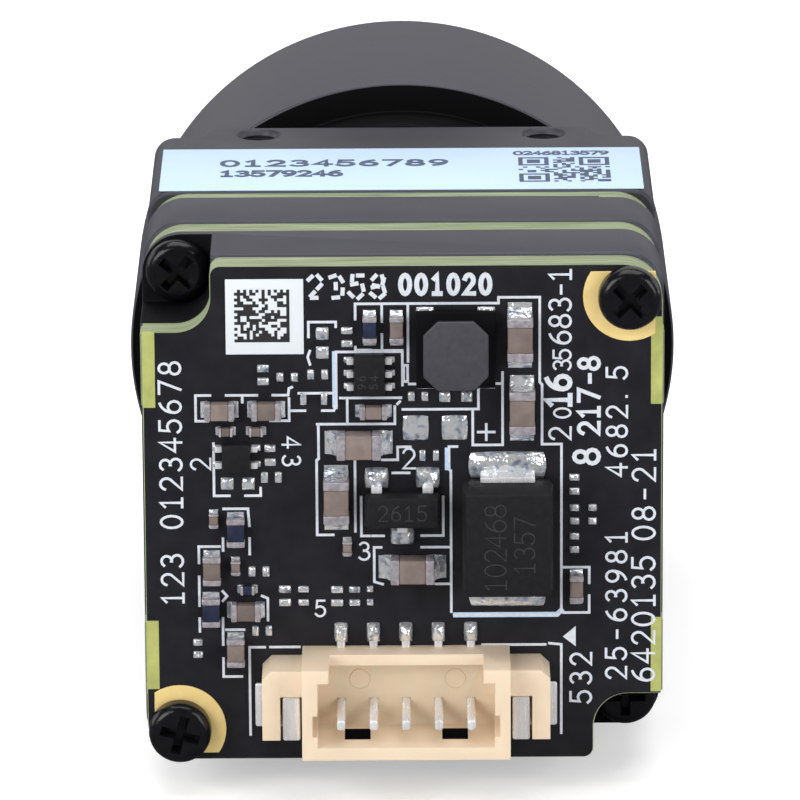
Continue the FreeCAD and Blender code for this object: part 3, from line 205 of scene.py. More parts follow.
# Relief: strength, grain per mm and depth in mm; and the tone of blasted alloy
PLAIN_BUMP, SLIGHT_BUMP, INK_BUMP = (0.2, 12.0, 0.01), (0.15, 12.0, 0.01), (0.1, 12.0, 0.01)
FILM_BUMP, SILK_BUMP, ALLOY_BUMP = (0.06, 6.0, 0.01), (0.3, 16.0, 0.01), (0.22, 11.0, 0.012)
BLASTED = (0.1, 0.6)


def mottled(name, colour, tone, rough, relief, stretch=(1, 1, 1), each=0.0, dark_zones=(), gleam=0.5,
            **extra):
    """A material that varies a little. Tone is the share by which its colour varies and the grain per mm,
    rough its least and most roughness, relief its strength, grain per mm and depth in mm, each the share
    by which separate parts of one piece differ, and gleam its specular level. It is black in the zones
    given: painted shade in recesses, and black lacquer."""
    shader = new_material(name)
    vary, grain = tone
    strength, fine_grain, depth = relief
    dark = [c * (1 - vary) for c in colour]
    light = [min(1.0, c * (1 + vary)) for c in colour]
    shade = shader.ramp(shader.noise(grain, stretch=stretch), ((0.3, dark), (0.7, light)))
    if each:
        island = shader.add("ShaderNodeNewGeometry").outputs["Random Per Island"]
        scale = shader.add("ShaderNodeVectorMath", operation="SCALE")
        shader.link(shade, scale.inputs[0])
        shader.link(shader.spread(island, 1 - each, 1.0), scale.inputs["Scale"])
        shade = scale.outputs[0]
    if dark_zones:
        in_zone = shader.inside(dark_zones)
        shader.link(shader.spread(in_zone, gleam, ZONE_GLEAM), "Specular IOR Level")
        shade = shader.mix(in_zone, shade, ZONE_COLOUR)
    shader.link(shade, "Base Color")
    fine = shader.noise(fine_grain, 6.0, stretch)
    shader.link(shader.spread(fine, *rough), "Roughness")
    shader.bump(fine, strength, depth)
    shader.set(Specular_IOR_Level=gleam, **extra)
    return shader.owner


def board_material():
    """Black solder mask on the faces and pale glass-epoxy layers on the cut edges."""
    shader = new_material("solder_mask_board")
    split = shader.add("ShaderNodeSeparateXYZ")
    shader.link(shader.add("ShaderNodeNewGeometry").outputs["True Normal"], split.inputs[0])
    is_face = shader.number("GREATER_THAN", shader.number("ABSOLUTE", split.outputs["Y"]), 0.8)
    mask = shader.ramp(shader.noise(1.2), ((0.3, (0.0125, 0.0125, 0.0165)), (0.7, (0.019, 0.019, 0.024))))
    layers = shader.noise(2.2, 3.0, (0.15, 3.4, 0.15))
    edge = shader.ramp(layers, ((0.25, (0.15, 0.18, 0.10)), (0.5, (0.29, 0.34, 0.20)),
                                (0.75, (0.42, 0.46, 0.31))))
    shader.link(shader.mix(is_face, edge, mask), "Base Color")
    fine = shader.noise(9.0, 5.0)
    shader.link(shader.spread(fine, 0.38, 0.5), "Roughness")
    shader.bump(fine, 0.12, 0.008)
    shader.set(Specular_IOR_Level=0.2)
    return shader.owner


def solder_material():
    """Bright rippled solder whose colour carries painted reflections: dark and bright patches."""
    shader = new_material("bright_solder")
    tone = shader.noise(3.0, 1.0)
    # painted reflections: dark and bright patches in the colour stand in for what the solder mirrors
    painted_reflections = ((0.28, (0.34, 0.38, 0.46)), (0.42, (0.80, 0.86, 0.95)), (0.5, (0.98, 0.99, 1.0)))
    shader.link(shader.ramp(tone, painted_reflections), "Base Color")
    shader.link(shader.spread(tone, 0.08, 0.22), "Roughness")
    shader.bump(shader.noise(3.2, 2.0), 1.0, 0.09)
    shader.set(Metallic=0.7)
    return shader.owner


def window_material():
    """A coated infrared lens: dark and metal-like, with a faint colour that turns with the angle."""
    shader = new_material("coated_infrared_glass")
    weight = shader.add("ShaderNodeLayerWeight", Blend=0.35)
    tints = ((0.0, (0.12, 0.10, 0.11)), (0.45, (0.17, 0.13, 0.20)), (0.85, (0.18, 0.22, 0.30)))
    shader.link(shader.ramp(weight.outputs["Facing"], tints), "Base Color")
    shader.link(shader.spread(shader.noise(3.0), 0.05, 0.09), "Roughness")
    shader.set(Metallic=0.85, Coat_Weight=0.3, Coat_Roughness=0.05)
    return shader.owner


# Zones of a piece that stay dark: painted shade in recesses, and black lacquer

def lock_windows():
    """The shaded walls of the two openings in the header's floor."""
    offset, half_width = 1.875, 0.52
    near, far, wall = 0.72, 2.07, 0.48
    foot = box_mm("connector_housing")[0].z
    pins_low, pins_high = box_mm("connector_pins")
    boxes = []
    for side in (-1, 1):
        middle = (pins_low.x + pins_high.x) / 2 + side * offset
        boxes.append((Vector((middle - half_width, BOARD_FACE - far, foot + 0.02)),
                      Vector((middle + half_width, BOARD_FACE - near, foot + wall))))
    return boxes


def inductor_flange():
    """The inductor below its flat top: lacquered black."""
    low, high = box_mm("power_inductor")
    margin, top_depth = Vector((0.1, 0.1, 0.1)), 0.2
    return [(Vector((low.x, low.y + top_depth, low.z)) - margin, high + margin)]


def screw_pocket_shade():
    """The inner walls of the two corner bites in the rear frame, painted black as shade."""
    lug_thick, bite_reach = 0.55, 2.62
    start = box_mm("rear_board")[1].y - 0.05
    stop = box_mm("middle_board")[0].y - lug_thick + 0.02
    reach = (BOARD_HALF + 0.3, BOARD_HALF - bite_reach - 0.02)
    boxes = []
    for side, rise in SHORT_CORNERS:
        left, right = sorted(side * r for r in reach)
        foot, head = sorted(rise * r for r in reach)
        boxes.append((Vector((left, start, foot)), Vector((right, stop, head))))
    return boxes


# Materials that vary a little: key, slot, name, colour, tone, roughness, relief, and what else it takes
VARIED = (
    ("bare_board", "solder_mask", "bare_glass_epoxy", (0.44, 0.47, 0.14), (0.16, 1.2), (0.35, 0.5),
     PLAIN_BUMP, {}),
    ("housing", "painted_alloy", "anodised_housing", (0.030, 0.030, 0.042), BLASTED, (0.42, 0.52),
     ALLOY_BUMP, {"gleam": 0.6}),
    # the frame is painted black as shade in its screw pockets
    ("frame", "painted_alloy", "anodised_frame", (0.036, 0.036, 0.052), BLASTED, (0.42, 0.52),
     ALLOY_BUMP, {"gleam": 0.6, "dark_zones": screw_pocket_shade()}),
    ("barrel", "painted_alloy", "anodised_barrel", (0.045, 0.045, 0.060), BLASTED, (0.42, 0.5),
     ALLOY_BUMP, {"gleam": 0.6, "stretch": (0.2, 9.0, 0.2)}),
    # painted shade: the barrel's faces behind the shoulder, darker than the barrel itself
    ("neck", "painted_alloy", "neck_painted_shade", (0.0025, 0.0025, 0.003), (0.15, 1.0), (0.5, 0.62),
     SLIGHT_BUMP, {"gleam": 0.1}),
    ("gold", "gold_plate", "gold_plating", (1.0, 0.74, 0.30), (0.05, 2.0), (0.32, 0.46),
     (0.2, 10.0, 0.006), {"Metallic": 0.12}),
    ("screw", "black_steel", "blackened_screw", (0.006, 0.006, 0.008), (0.25, 3.0), (0.12, 0.26),
     (0.5, 4.0, 0.03), {"gleam": 0.32}),
    ("blade", "blade_steel", "black_shutter_steel", (0.015, 0.015, 0.016), (0.2, 2.0), (0.6, 0.8),
     PLAIN_BUMP, {"Metallic": 0.3}),
    # the header is painted black as shade in its lock windows
    ("nylon", "ivory_plastic", "ivory_nylon", (0.85, 0.69, 0.51), (0.035, 0.5), (0.38, 0.5),
     (0.12, 5.0, 0.02), {"dark_zones": lock_windows(), "Subsurface_Weight": 0.12,
                         "Subsurface_Scale": 0.0006}),
    ("tin", "tinned_metal", "tin_plate", (0.86, 0.86, 0.89), (0.14, 1.3), (0.18, 0.34),
     (0.4, 4.0, 0.02), {"Metallic": 0.35, "stretch": (2.4, 0.25, 0.25)}),
    ("termination", "tinned_metal", "part_end_metal", (0.42, 0.39, 0.42), (0.28, 5.0), (0.2, 0.42),
     (0.7, 4.0, 0.03), {"Metallic": 0.35}),
    ("capacitor", "capacitor_ceramic", "brown_ceramic", (0.245, 0.190, 0.170), (0.14, 2.2), (0.4, 0.55),
     PLAIN_BUMP, {"each": 0.4}),
    ("resistor", "dark_ceramic", "dark_ceramic_film", (0.016, 0.022, 0.055), (0.3, 2.0), (0.3, 0.45),
     PLAIN_BUMP, {}),
    ("epoxy", "black_plastic", "moulded_epoxy", (0.012, 0.012, 0.014), (0.2, 4.0), (0.5, 0.66),
     (0.5, 16.0, 0.012), {"gleam": 0.25}),
    ("marking", "black_plastic", "part_marking", (0.03, 0.03, 0.034), (0.3, 6.0), (0.6, 0.7),
     PLAIN_BUMP, {}),
    ("ferrite", "ferrite", "grey_ferrite", (0.052, 0.052, 0.064), (0.12, 4.0), (0.5, 0.65),
     (0.4, 14.0, 0.012), {"dark_zones": inductor_flange()}),
    ("copper", "copper_wire", "enamelled_copper", (0.52, 0.2, 0.09), (0.15, 3.0), (0.3, 0.4),
     (0.3, 6.0, 0.02), {"Metallic": 0.9, "stretch": (0.3, 6.0, 0.3)}),
    ("ceramic", "ceramic_body", "fired_package", (0.20, 0.18, 0.165), (0.1, 1.5), (0.6, 0.75),
     PLAIN_BUMP, {}),
    ("rubber", "seal_rubber", "seal_rubber", (0.015, 0.015, 0.015), (0.2, 3.0), (0.6, 0.75),
     (0.3, 12.0, 0.01), {}),
    ("film", "label_film", "label_film", (0.585, 0.755, 0.98), (0.02, 0.3), (0.42, 0.5), FILM_BUMP, {}),
    ("sticker", "label_film", "sticker_film", (0.76, 0.80, 0.84), (0.02, 0.4), (0.45, 0.55), FILM_BUMP, {}),
    ("silk", "label_film", "silk_print", (0.68, 0.71, 0.78), (0.08, 6.0), (0.55, 0.7), SILK_BUMP, {}),
    ("broad_silk", "label_film", "broad_silk_print", (0.52, 0.68, 0.88), (0.1, 5.0), (0.5, 0.65),
     SILK_BUMP, {}),
    ("label_ink", "label_film", "label_ink", (0.07, 0.10, 0.17), (0.2, 5.0), (0.5, 0.6), INK_BUMP, {}),
    ("sticker_ink", "label_film", "sticker_ink", (0.025, 0.025, 0.027), (0.2, 5.0), (0.5, 0.6),
     INK_BUMP, {}),
)


def all_materials():
    """Every material after the slot of its kind."""
    made = {"board": ("solder_mask", board_material()), "solder": ("tinned_metal", solder_material()),
            "window": ("dark_window", window_material())}
    for key, slot, name, colour, tone, rough, relief, more in VARIED:
        made[key] = (slot, mottled(name, colour, tone, rough, relief, **more))
    return made


MATERIALS = all_materials()


# Mesh helpers

def new_object(name, data):
    """A new object in the scene."""
    item = bpy.data.objects.new(name, data)
    scene.collection.objects.link(item)
    return item


def mesh_piece(name, shape):
    """A new object from a bmesh, its lengths given in millimetres."""
    mesh = bpy.data.meshes.new(name)
    shape.transform(Matrix.Scale(MM, 4))
    bmesh.ops.recalc_face_normals(shape, faces=shape.faces)
    shape.to_mesh(mesh)
    shape.free()
    return new_object(name, mesh)


def coat(piece, material):
    """Gives a piece the material of its kind."""
    slot, surface = MATERIALS[material]
    piece.data.materials.clear()
    piece.data.materials.append(surface)


def finish_piece(piece, material, node=None):
    """Coats a piece, fixes it to the module and hides the node that it stands for."""
    coat(piece, material)
    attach(piece, MODULE)
    if node:
        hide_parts(node)
    return piece


def smooth(piece, angle=SMOOTH_ANGLE):
    """Smooth shading, with the edges sharper than the angle kept hard."""
    for face in piece.data.polygons:
        face.use_smooth = True
    piece.data.set_sharp_from_angle(angle=angle)
    return piece


def apply_modifiers(piece):
    """Bakes a piece's modifiers into its mesh."""
    graph = bpy.context.evaluated_depsgraph_get()
    made = bpy.data.meshes.new_from_object(piece.evaluated_get(graph))
    old = piece.data
    piece.modifiers.clear()
    piece.data = made
    bpy.data.meshes.remove(old)


def add_ring(shape, centre, radius, segments, axis="Y"):
    """A ring of vertices round a line along the axis, or one vertex where the radius is nothing."""
    x, y, z = centre
    if radius < 1e-6:
        return [shape.verts.new(centre)]
    ring = []
    for k in range(segments):
        across = radius * math.cos(FULL_TURN * k / segments)
        up = radius * math.sin(FULL_TURN * k / segments)
        place = (x + across, y, z + up) if axis == "Y" else (x + across, y + up, z)
        ring.append(shape.verts.new(place))
    return ring


def bridge(shape, first, second):
    """Faces between two rings, either of which may be one vertex."""
    count = max(len(first), len(second))
    for k in range(count):
        after = (k + 1) % count
        if len(first) == 1:
            shape.faces.new((first[0], second[k], second[after]))
        elif len(second) == 1:
            shape.faces.new((first[k], second[0], first[after]))
        else:
            shape.faces.new((first[k], second[k], second[after], first[after]))


def bridge_all(shape, rings):
    """Faces between each ring and the next."""
    for first, second in zip(rings, rings[1:]):
        bridge(shape, first, second)


def add_skin(shape, grid):
    """Faces over a grid of vertices."""
    for line, after in zip(grid, grid[1:]):
        for k in range(len(line) - 1):
            shape.faces.new((line[k], line[k + 1], after[k + 1], after[k]))


def add_block(shape, low, high):
    """A closed block between two corners."""
    (x0, y0, z0), (x1, y1, z1) = low, high
    corners = ((x0, z0), (x1, z0), (x1, z1), (x0, z1))
    outer, inner = [[shape.verts.new((x, y, z)) for x, z in corners] for y in (y0, y1)]
    shape.faces.new(outer)
    shape.faces.new(inner[::-1])
    bridge(shape, outer, inner)


def lathe(name, profile, material, node, segments):
    """A piece turned about the optical axis from (station, radius) pairs, which stands for a node."""
    shape = bmesh.new()
    rings = [add_ring(shape, (0.0, station, 0.0), radius, segments) for station, radius in profile]
    if profile[0][1] > 0:
        rings.append(rings[0])
    bridge_all(shape, rings)
    return finish_piece(smooth(mesh_piece(name, shape)), material, node)


# Lens: barrel and front element

def make_barrel():
    """Neck, wide barrel, bore with two lens seats and tail, all turned in one."""
    low, high = box_mm("lens_barrel")
    tail, front, radius = low.y, high.y, high.x
    play = 0.05
    bore = box_mm("front_lens")[1].x + play
    seat = box_mm("front_lens")[0].y
    rear_bore = box_mm("rear_lens")[1].x + play
    rear_seat = box_mm("rear_lens")[0].y
    neck, thread, ledge = 10.1, 7.95, 0.75
    edge, tail_edge, rim_edge, front_chamfer, shoulder_round = 0.05, 0.15, 0.1, 0.35, 0.12

    profile = [(tail, rear_bore - ledge), (tail, thread - tail_edge), (tail + tail_edge, thread),
               (HOUSING_FRONT, thread), (HOUSING_FRONT, neck - edge), (HOUSING_FRONT + edge, neck),
               (SHOULDER - edge, neck), (SHOULDER, neck + edge)]
    for degrees in range(0, 91, 18):
        angle = math.radians(degrees)
        profile.append((SHOULDER + shoulder_round * (1 - math.cos(angle)),
                        radius - shoulder_round * (1 - math.sin(angle))))
    profile += [(front - front_chamfer, radius), (front, radius - front_chamfer), (front, bore + rim_edge),
                (front - rim_edge, bore), (seat, bore), (seat, rear_bore), (rear_seat, rear_bore),
                (rear_seat, rear_bore - ledge)]
    barrel = lathe("turned_barrel", profile, "barrel", "lens_barrel", 192)

    # the faces behind the shoulder get painted shade, a near-black copy of the barrel's finish, as they lie
    # in shade
    barrel.data.materials.append(MATERIALS["neck"][1])
    for face in barrel.data.polygons:
        if face.center.y / MM < SHOULDER + 0.01:
            face.material_index = 1


def make_front_element():
    """The front lens with its domed outer face."""
    low, high = box_mm("front_lens")
    rim, curve, steps = high.x, 26.0, 14
    profile = [(low.y, 0.0), (low.y, rim)]
    for k in range(steps + 1):
        radius = rim * (steps - k) / steps
        profile.append((high.y - curve + math.sqrt(curve ** 2 - radius ** 2), radius))
    lathe("front_element", profile, "window", "front_lens", 128)


# Nodes shown with softened edges

HOUSING_ROUND, TIGHT_ROUND = 1.55, 0.85
LABEL_TRIM = 0.13


def tighten_corners(shape):
    """Draws the housing's four long corners out to a tighter round."""
    half = box_mm("front_housing")[1].x
    centre, new_centre = half - HOUSING_ROUND, half - TIGHT_ROUND
    for vert in shape.verts:
        x, z = vert.co.x / MM, vert.co.z / MM
        beyond = Vector((abs(x) - centre, abs(z) - centre))
        if min(beyond) > -1e-3 and beyond.length > HOUSING_ROUND - 0.15:
            beyond = beyond.normalized() * (beyond.length - HOUSING_ROUND + TIGHT_ROUND)
            vert.co.x = math.copysign(new_centre + beyond.x, x) * MM
            vert.co.z = math.copysign(new_centre + beyond.y, z) * MM


def trim_ends(shape):
    """Takes a little off both ends of the label."""
    for vert in shape.verts:
        vert.co.x -= math.copysign(LABEL_TRIM * MM, vert.co.x)


# Node, piece, material, width of the soft edge and the steps across it
SOFTENED = (
    ("retaining_ring", "slotted_retaining_ring", "frame", 0.06, 2),
    ("front_housing", "cast_front_housing", "housing", 0.09, 3),
    ("middle_frame", "milled_middle_frame", "frame", 0.07, 2),
    ("rear_frame", "milled_rear_frame", "frame", 0.07, 2),
    ("rear_board", "rear_circuit_board", "board", 0.03, 1),
    ("middle_board", "middle_circuit_board", "board", 0.03, 1),
    ("sensor_board", "sensor_circuit_board", "board", 0.03, 1),
    ("ground_rings", "plated_ground_rings", "gold", 0.015, 1),
    ("top_label", "printed_top_label", "film", 0.03, 2),
    ("code_sticker", "coded_sticker", "sticker", 0.02, 2),
    ("connector_housing", "header_shell", "nylon", 0.07, 3),
    ("connector_pins", "header_pins", "tin", 0.1, 3),
    ("connector_nails", "header_nails", "tin", 0.1, 3),
    ("capacitor_bodies", "capacitor_middles", "capacitor", 0.05, 2),
    ("capacitor_ends", "capacitor_terminations", "termination", 0.07, 3),
    ("resistor_bodies", "resistor_middles", "resistor", 0.04, 2),
    ("resistor_ends", "resistor_terminations", "termination", 0.06, 3),
    ("surge_diode", "moulded_surge_diode", "epoxy", 0.08, 3),
    ("surge_diode_leads", "surge_diode_bent_leads", "tin", 0.05, 2),
    ("power_transistor", "moulded_transistor", "epoxy", 0.06, 3),
    ("power_transistor_leads", "transistor_bent_leads", "tin", 0.04, 2),
    ("regulator", "moulded_regulator", "epoxy", 0.04, 2),
    ("regulator_leads", "regulator_flat_leads", "tin", 0.03, 2),
    ("load_switch", "moulded_load_switch", "epoxy", 0.04, 2),
    ("load_switch_leads", "load_switch_flat_leads", "tin", 0.03, 2),
    ("power_inductor", "inductor_core", "ferrite", 0.09, 3),
)
RESHAPED = {"front_housing": tighten_corners, "top_label": trim_ends}


def make_softened():
    """Copies of CAD nodes with bevelled edges, which stand for the nodes."""
    for node, name, material, width, steps in SOFTENED:
        mesh = frame["nodes"][node].data.copy()
        shape = bmesh.new()
        shape.from_mesh(mesh)
        if node in RESHAPED:
            RESHAPED[node](shape)
        bmesh.ops.remove_doubles(shape, verts=shape.verts, dist=WELD)
        bmesh.ops.dissolve_limit(shape, angle_limit=math.radians(1.0), verts=shape.verts, edges=shape.edges)
        shape.to_mesh(mesh)
        shape.free()
        piece = new_object(name, mesh)
        bevel = piece.modifiers.new("soft edges", "BEVEL")
        bevel.width = width * MM
        bevel.segments = steps
        bevel.limit_method = "ANGLE"
        bevel.angle_limit = BEVEL_ANGLE
        apply_modifiers(piece)
        finish_piece(smooth(piece), material, node)


# Inner pieces keep their CAD meshes and take a finish of their own

FINISHES = {
    "window": ("detector_window", "rear_lens"),
    "ceramic": ("detector_package",),
    "blade": ("shutter_plate", "shutter_blade"),
    "tin": ("shutter_shaft", "shutter_motor"),
    "epoxy": ("rear_stack_socket", "rear_stack_plug", "front_stack_socket", "front_stack_plug",
              "image_processor", "memory_chip"),
    "copper": ("inductor_winding",),
    "barrel": ("lens_spacer",),
    "rubber": ("lens_seal",),
}


def coat_inner_nodes():
    """Gives each inner node its finish."""
    for material, nodes in FINISHES.items():
        for node in nodes:
            coat(frame["nodes"][node], material)


# Screws with a rounded pan head and a tapered cross recess

SCREW_PLACE = 8.73
HEAD_RADIUS, HEAD_HEIGHT, SHANK_RADIUS = 1.22, 0.8, 0.7
CROWN_DROP, CROWN_RUN, CROWN_STEPS = 0.42, 0.36, 6
RECESS_HALF, RECESS_REACH, RECESS_DEPTH, RECESS_TAPER = 0.19, 0.78, 0.5, 0.06
SCREW_SEGMENTS = 48


def drawn_in(value):
    """A recess coordinate at its floor, where the arms' ends lean in more than their sides."""
    lean = RECESS_TAPER * 3 if abs(value) > RECESS_HALF + 0.01 else RECESS_TAPER
    return math.copysign(max(abs(value) - lean, 0.02), value)


def cross_outline():
    """The corners of the cross, one arm after the other."""
    points, half = [], RECESS_HALF
    for quarter in range(4):
        spin = Matrix.Rotation(math.radians(90 * quarter), 2)
        for x, y in ((half, -half), (RECESS_REACH, -half), (RECESS_REACH, half)):
            points.append(spin @ Vector((x, y)))
    return points


def loop_edges(shape, ring):
    """The edges round a ring."""
    return [shape.edges.get(pair) for pair in zip(ring, ring[1:] + ring[:1])]


def add_screw(shape, shank):
    """One screw whose head sits at the origin and whose shank points along Y."""
    crown = []
    for k in range(CROWN_STEPS, -1, -1):
        angle = math.radians(90 * k / CROWN_STEPS)
        crown.append((-HEAD_HEIGHT + CROWN_DROP * (1 - math.sin(angle)),
                      HEAD_RADIUS - CROWN_RUN * (1 - math.cos(angle))))
    profile = [(-HEAD_HEIGHT, 0.84)] + crown + [(-0.04, HEAD_RADIUS), (0.0, HEAD_RADIUS - 0.05),
                                                (0.0, SHANK_RADIUS), (shank, SHANK_RADIUS)]
    rings = [add_ring(shape, (0.0, y, 0.0), radius, SCREW_SEGMENTS) for y, radius in profile]
    bridge_all(shape, rings)
    shape.faces.new(rings[-1])
    # the flat top round the recess: the cross is smaller at its floor
    outline = cross_outline()
    top = [shape.verts.new((p.x, -HEAD_HEIGHT, p.y)) for p in outline]
    floor = [shape.verts.new((drawn_in(p.x), RECESS_DEPTH - HEAD_HEIGHT, drawn_in(p.y))) for p in outline]
    bridge(shape, floor, top)
    shape.faces.new(floor)
    edges = loop_edges(shape, top) + loop_edges(shape, rings[0])
    bmesh.ops.triangle_fill(shape, edges=edges, use_beauty=True)


def make_screws(node, name, seat, corners, turns):
    """Two like screws in opposite corners, each turned by some degrees."""
    shape = bmesh.new()
    for (side, rise), turn in zip(corners, turns):
        before = len(shape.verts)
        add_screw(shape, box_mm(node)[1].y - seat)
        shape.verts.ensure_lookup_table()
        place = Matrix.Translation((side * SCREW_PLACE, seat, rise * SCREW_PLACE))
        turned = Matrix.Rotation(math.radians(turn), 4, "Y")
        bmesh.ops.transform(shape, matrix=place @ turned, verts=shape.verts[before:])
    finish_piece(smooth(mesh_piece(name, shape)), "screw", node)


def make_all_screws():
    """The long screws in the whole corners and the short ones in the bitten corners."""
    long_seat = BOARD_FACE - 0.05
    short_seat = box_mm("short_screws")[0].y + HEAD_HEIGHT
    make_screws("long_screws", "long_pan_screws", long_seat, LONG_CORNERS, (45, 15))
    make_screws("short_screws", "short_pan_screws", short_seat, SHORT_CORNERS, (40, 0))


# Stage: floor, room, lamps, camera

def make_floor():
    """White paper just under the module, lit from below as well, which only the camera sees."""
    size, lowest = 3.0, CAD_BOUNDS[0][2]
    mesh = bpy.data.meshes.new("floor")
    corners = [(x * size, y * size, lowest) for x, y in ((-1, -1), (1, -1), (1, 1), (-1, 1))]
    mesh.from_pydata(corners, [], [(0, 1, 2, 3)])
    floor = new_object("floor", mesh)
    shader = new_material("white_paper")
    path = shader.add("ShaderNodeLightPath").outputs
    shader.link(shader.mix(path["Is Glossy Ray"], (0.80, 0.80, 0.80), (0.12, 0.12, 0.13)), "Base Color")
    shader.link(shader.spread(path["Is Camera Ray"], 0.0, 0.42), "Emission Strength")
    shader.set(Emission_Color=(1.0, 0.99, 1.0, 1.0), Roughness=0.9, Specular_IOR_Level=0.0)
    mesh.materials.append(shader.owner)


def make_room():
    """Soft fill for matt surfaces, a dark room in reflections and plain white behind the module."""
    fill, reflected, behind = (0.30,) * 3, (0.10,) * 3, (1.0,) * 3
    scene.world = bpy.data.worlds.new("studio")
    room = Shader(scene.world, "Background")
    path = room.add("ShaderNodeLightPath").outputs
    around = room.mix(path["Is Glossy Ray"], fill, reflected)
    room.link(room.mix(path["Is Camera Ray"], around, behind), "Color")


# Lamps in metres: name, place, size, power, and whether the camera sees them
LAMP_TARGET = (0.0, -0.010, 0.0)
LAMPS = (
    ("backdrop_box", (0.0, 0.55, 0.17), (1.3, 0.40), 0.85, False),
    ("left_box", (-0.45, 0.16, 0.10), (0.3, 0.3), 0.45, False),
    ("right_box", (0.45, 0.16, 0.10), (0.3, 0.3), 0.45, False),
    ("overhead_box", (0.02, 0.06, 0.42), (0.42, 0.42), 1.35, True),
    ("front_left_box", (-0.34, -0.36, 0.22), (0.34, 0.30), 1.6, True),
    ("front_right_box", (0.36, -0.30, 0.16), (0.24, 0.3), 0.85, True),
)


def make_lamps():
    """Soft boxes that all point at the module."""
    for name, place, size, power, shown in LAMPS:
        data = bpy.data.lights.new(name, "AREA")
        data.shape = "RECTANGLE"
        data.size, data.size_y = size
        data.energy = power
        lamp = new_object(name, data)
        lamp.location = place
        lamp.rotation_euler = (Vector(LAMP_TARGET) - Vector(place)).to_track_quat("-Z", "Y").to_euler()
        lamp.visible_camera = shown


# The photo's view: place in millimetres, angles in radians, lens as of a 36 mm wide sensor
VIEW_PLACE = (0.04, -297.866, 87.934)
VIEW_PITCH, VIEW_YAW, VIEW_ROLL = 0.2942, -0.0005, -0.0056
VIEW_LENS, SENSOR = 335.97, 36.0


def make_camera():
    """The camera of the photo's view."""
    ahead = math.cos(VIEW_PITCH)
    forward = Vector((math.sin(VIEW_YAW) * ahead, math.cos(VIEW_YAW) * ahead, -math.sin(VIEW_PITCH)))
    right = Vector((math.cos(VIEW_YAW), -math.sin(VIEW_YAW), 0))
    up = right.cross(forward)
    level = right * math.cos(VIEW_ROLL) + up * math.sin(VIEW_ROLL)
    turn = Matrix((level, level.cross(forward), -forward)).transposed().to_4x4()
    data = bpy.data.cameras.new("photo_view")
    data.lens, data.sensor_width = VIEW_LENS, SENSOR
    data.clip_start, data.clip_end = 0.01, 20.0
    camera = new_object("photo_view", data)
    camera.matrix_world = Matrix.Translation(Vector(VIEW_PLACE) * MM) @ turn
    scene.camera = camera


# Print: lines and numerals as thin raised strips

def arc(x, y, rx, ry, start, end, steps=9):
    """Points on an ellipse between two angles in degrees."""
    turn = [math.radians(start + (end - start) * k / steps) for k in range(steps + 1)]
    return [(x + rx * math.cos(a), y + ry * math.sin(a)) for a in turn]


# Numerals in a cell 0.6 wide and 1 high
NUMERALS = {
    "0": [arc(0.3, 0.5, 0.29, 0.5, 0, 360, 16)],
    "1": [[(0.1, 0.8), (0.3, 1.0), (0.3, 0.0)], [(0.08, 0.0), (0.52, 0.0)]],
    "2": [arc(0.29, 0.71, 0.27, 0.29, 165, -35) + [(0.02, 0.0), (0.6, 0.0)]],
    "3": [arc(0.28, 0.76, 0.25, 0.24, 150, -90) + arc(0.28, 0.27, 0.3, 0.27, 90, -150)],
    "4": [[(0.44, 0.0), (0.44, 1.0), (0.0, 0.3), (0.62, 0.3)]],
    "5": [[(0.55, 1.0), (0.1, 1.0), (0.06, 0.56)] + arc(0.27, 0.32, 0.31, 0.32, 115, -150)],
    "6": [arc(0.3, 0.3, 0.28, 0.3, 0, 360, 12), arc(0.62, 0.32, 0.6, 0.68, 105, 180, 6)],
    "7": [[(0.0, 1.0), (0.6, 1.0), (0.2, 0.0)]],
    "8": [arc(0.3, 0.75, 0.23, 0.25, 0, 360, 12), arc(0.3, 0.26, 0.29, 0.26, 0, 360, 12)],
    "9": [arc(0.3, 0.7, 0.28, 0.3, 0, 360, 12), arc(-0.02, 0.68, 0.6, 0.68, 0, -75, 6)],
    "-": [[(0.1, 0.45), (0.5, 0.45)]],
    ".": [[(0.06, 0.02), (0.1, 0.02)]],
}


def numeral_paths(text, x, y, height, spacing, upward=False, squeeze=1.0):
    """Stroke paths of a row of numerals from a lower left corner; upward rows read from bottom to top."""
    paths = []
    for place, sign in enumerate(text):
        for stroke in NUMERALS[sign]:
            points = []
            for right, up in stroke:
                run, rise = place * spacing + right * height * squeeze, up * height
                points.append((x - rise, y + run) if upward else (x + run, y + rise))
            paths.append(points)
    return paths


def columns(*rows):
    """Stroke paths of several rows that read upwards."""
    return [path for row in rows for path in numeral_paths(*row, upward=True)]


def turned(text, foot, start, height, spacing):
    """Stroke paths of a row that reads downwards, which is an upward row turned half round."""
    return [[(-x, -z) for x, z in path] for path in columns((text, -foot, -start, height, spacing))]


def dashed(stroke, period, dash):
    """Short straight dashes at even steps along a stroke."""
    points = [Vector(point) for point in stroke]
    dashes = []
    ahead = dash / 2
    for start, end in zip(points, points[1:]):
        run = end - start
        while ahead < run.length:
            middle, half = start + run.normalized() * ahead, run.normalized() * dash / 2
            dashes.append([tuple(middle - half), tuple(middle + half)])
            ahead += period
        ahead -= run.length
    return dashes


# Height of the print; strokes next to each other differ by a hair and climb by one, so that
# two that cross never share a plane
PRINT_HEIGHT, PRINT_STEP, PRINT_CLIMB = 0.010, 0.002, 0.004
POINTER_HEIGHT, CELL_HEIGHT = 0.012, 0.006


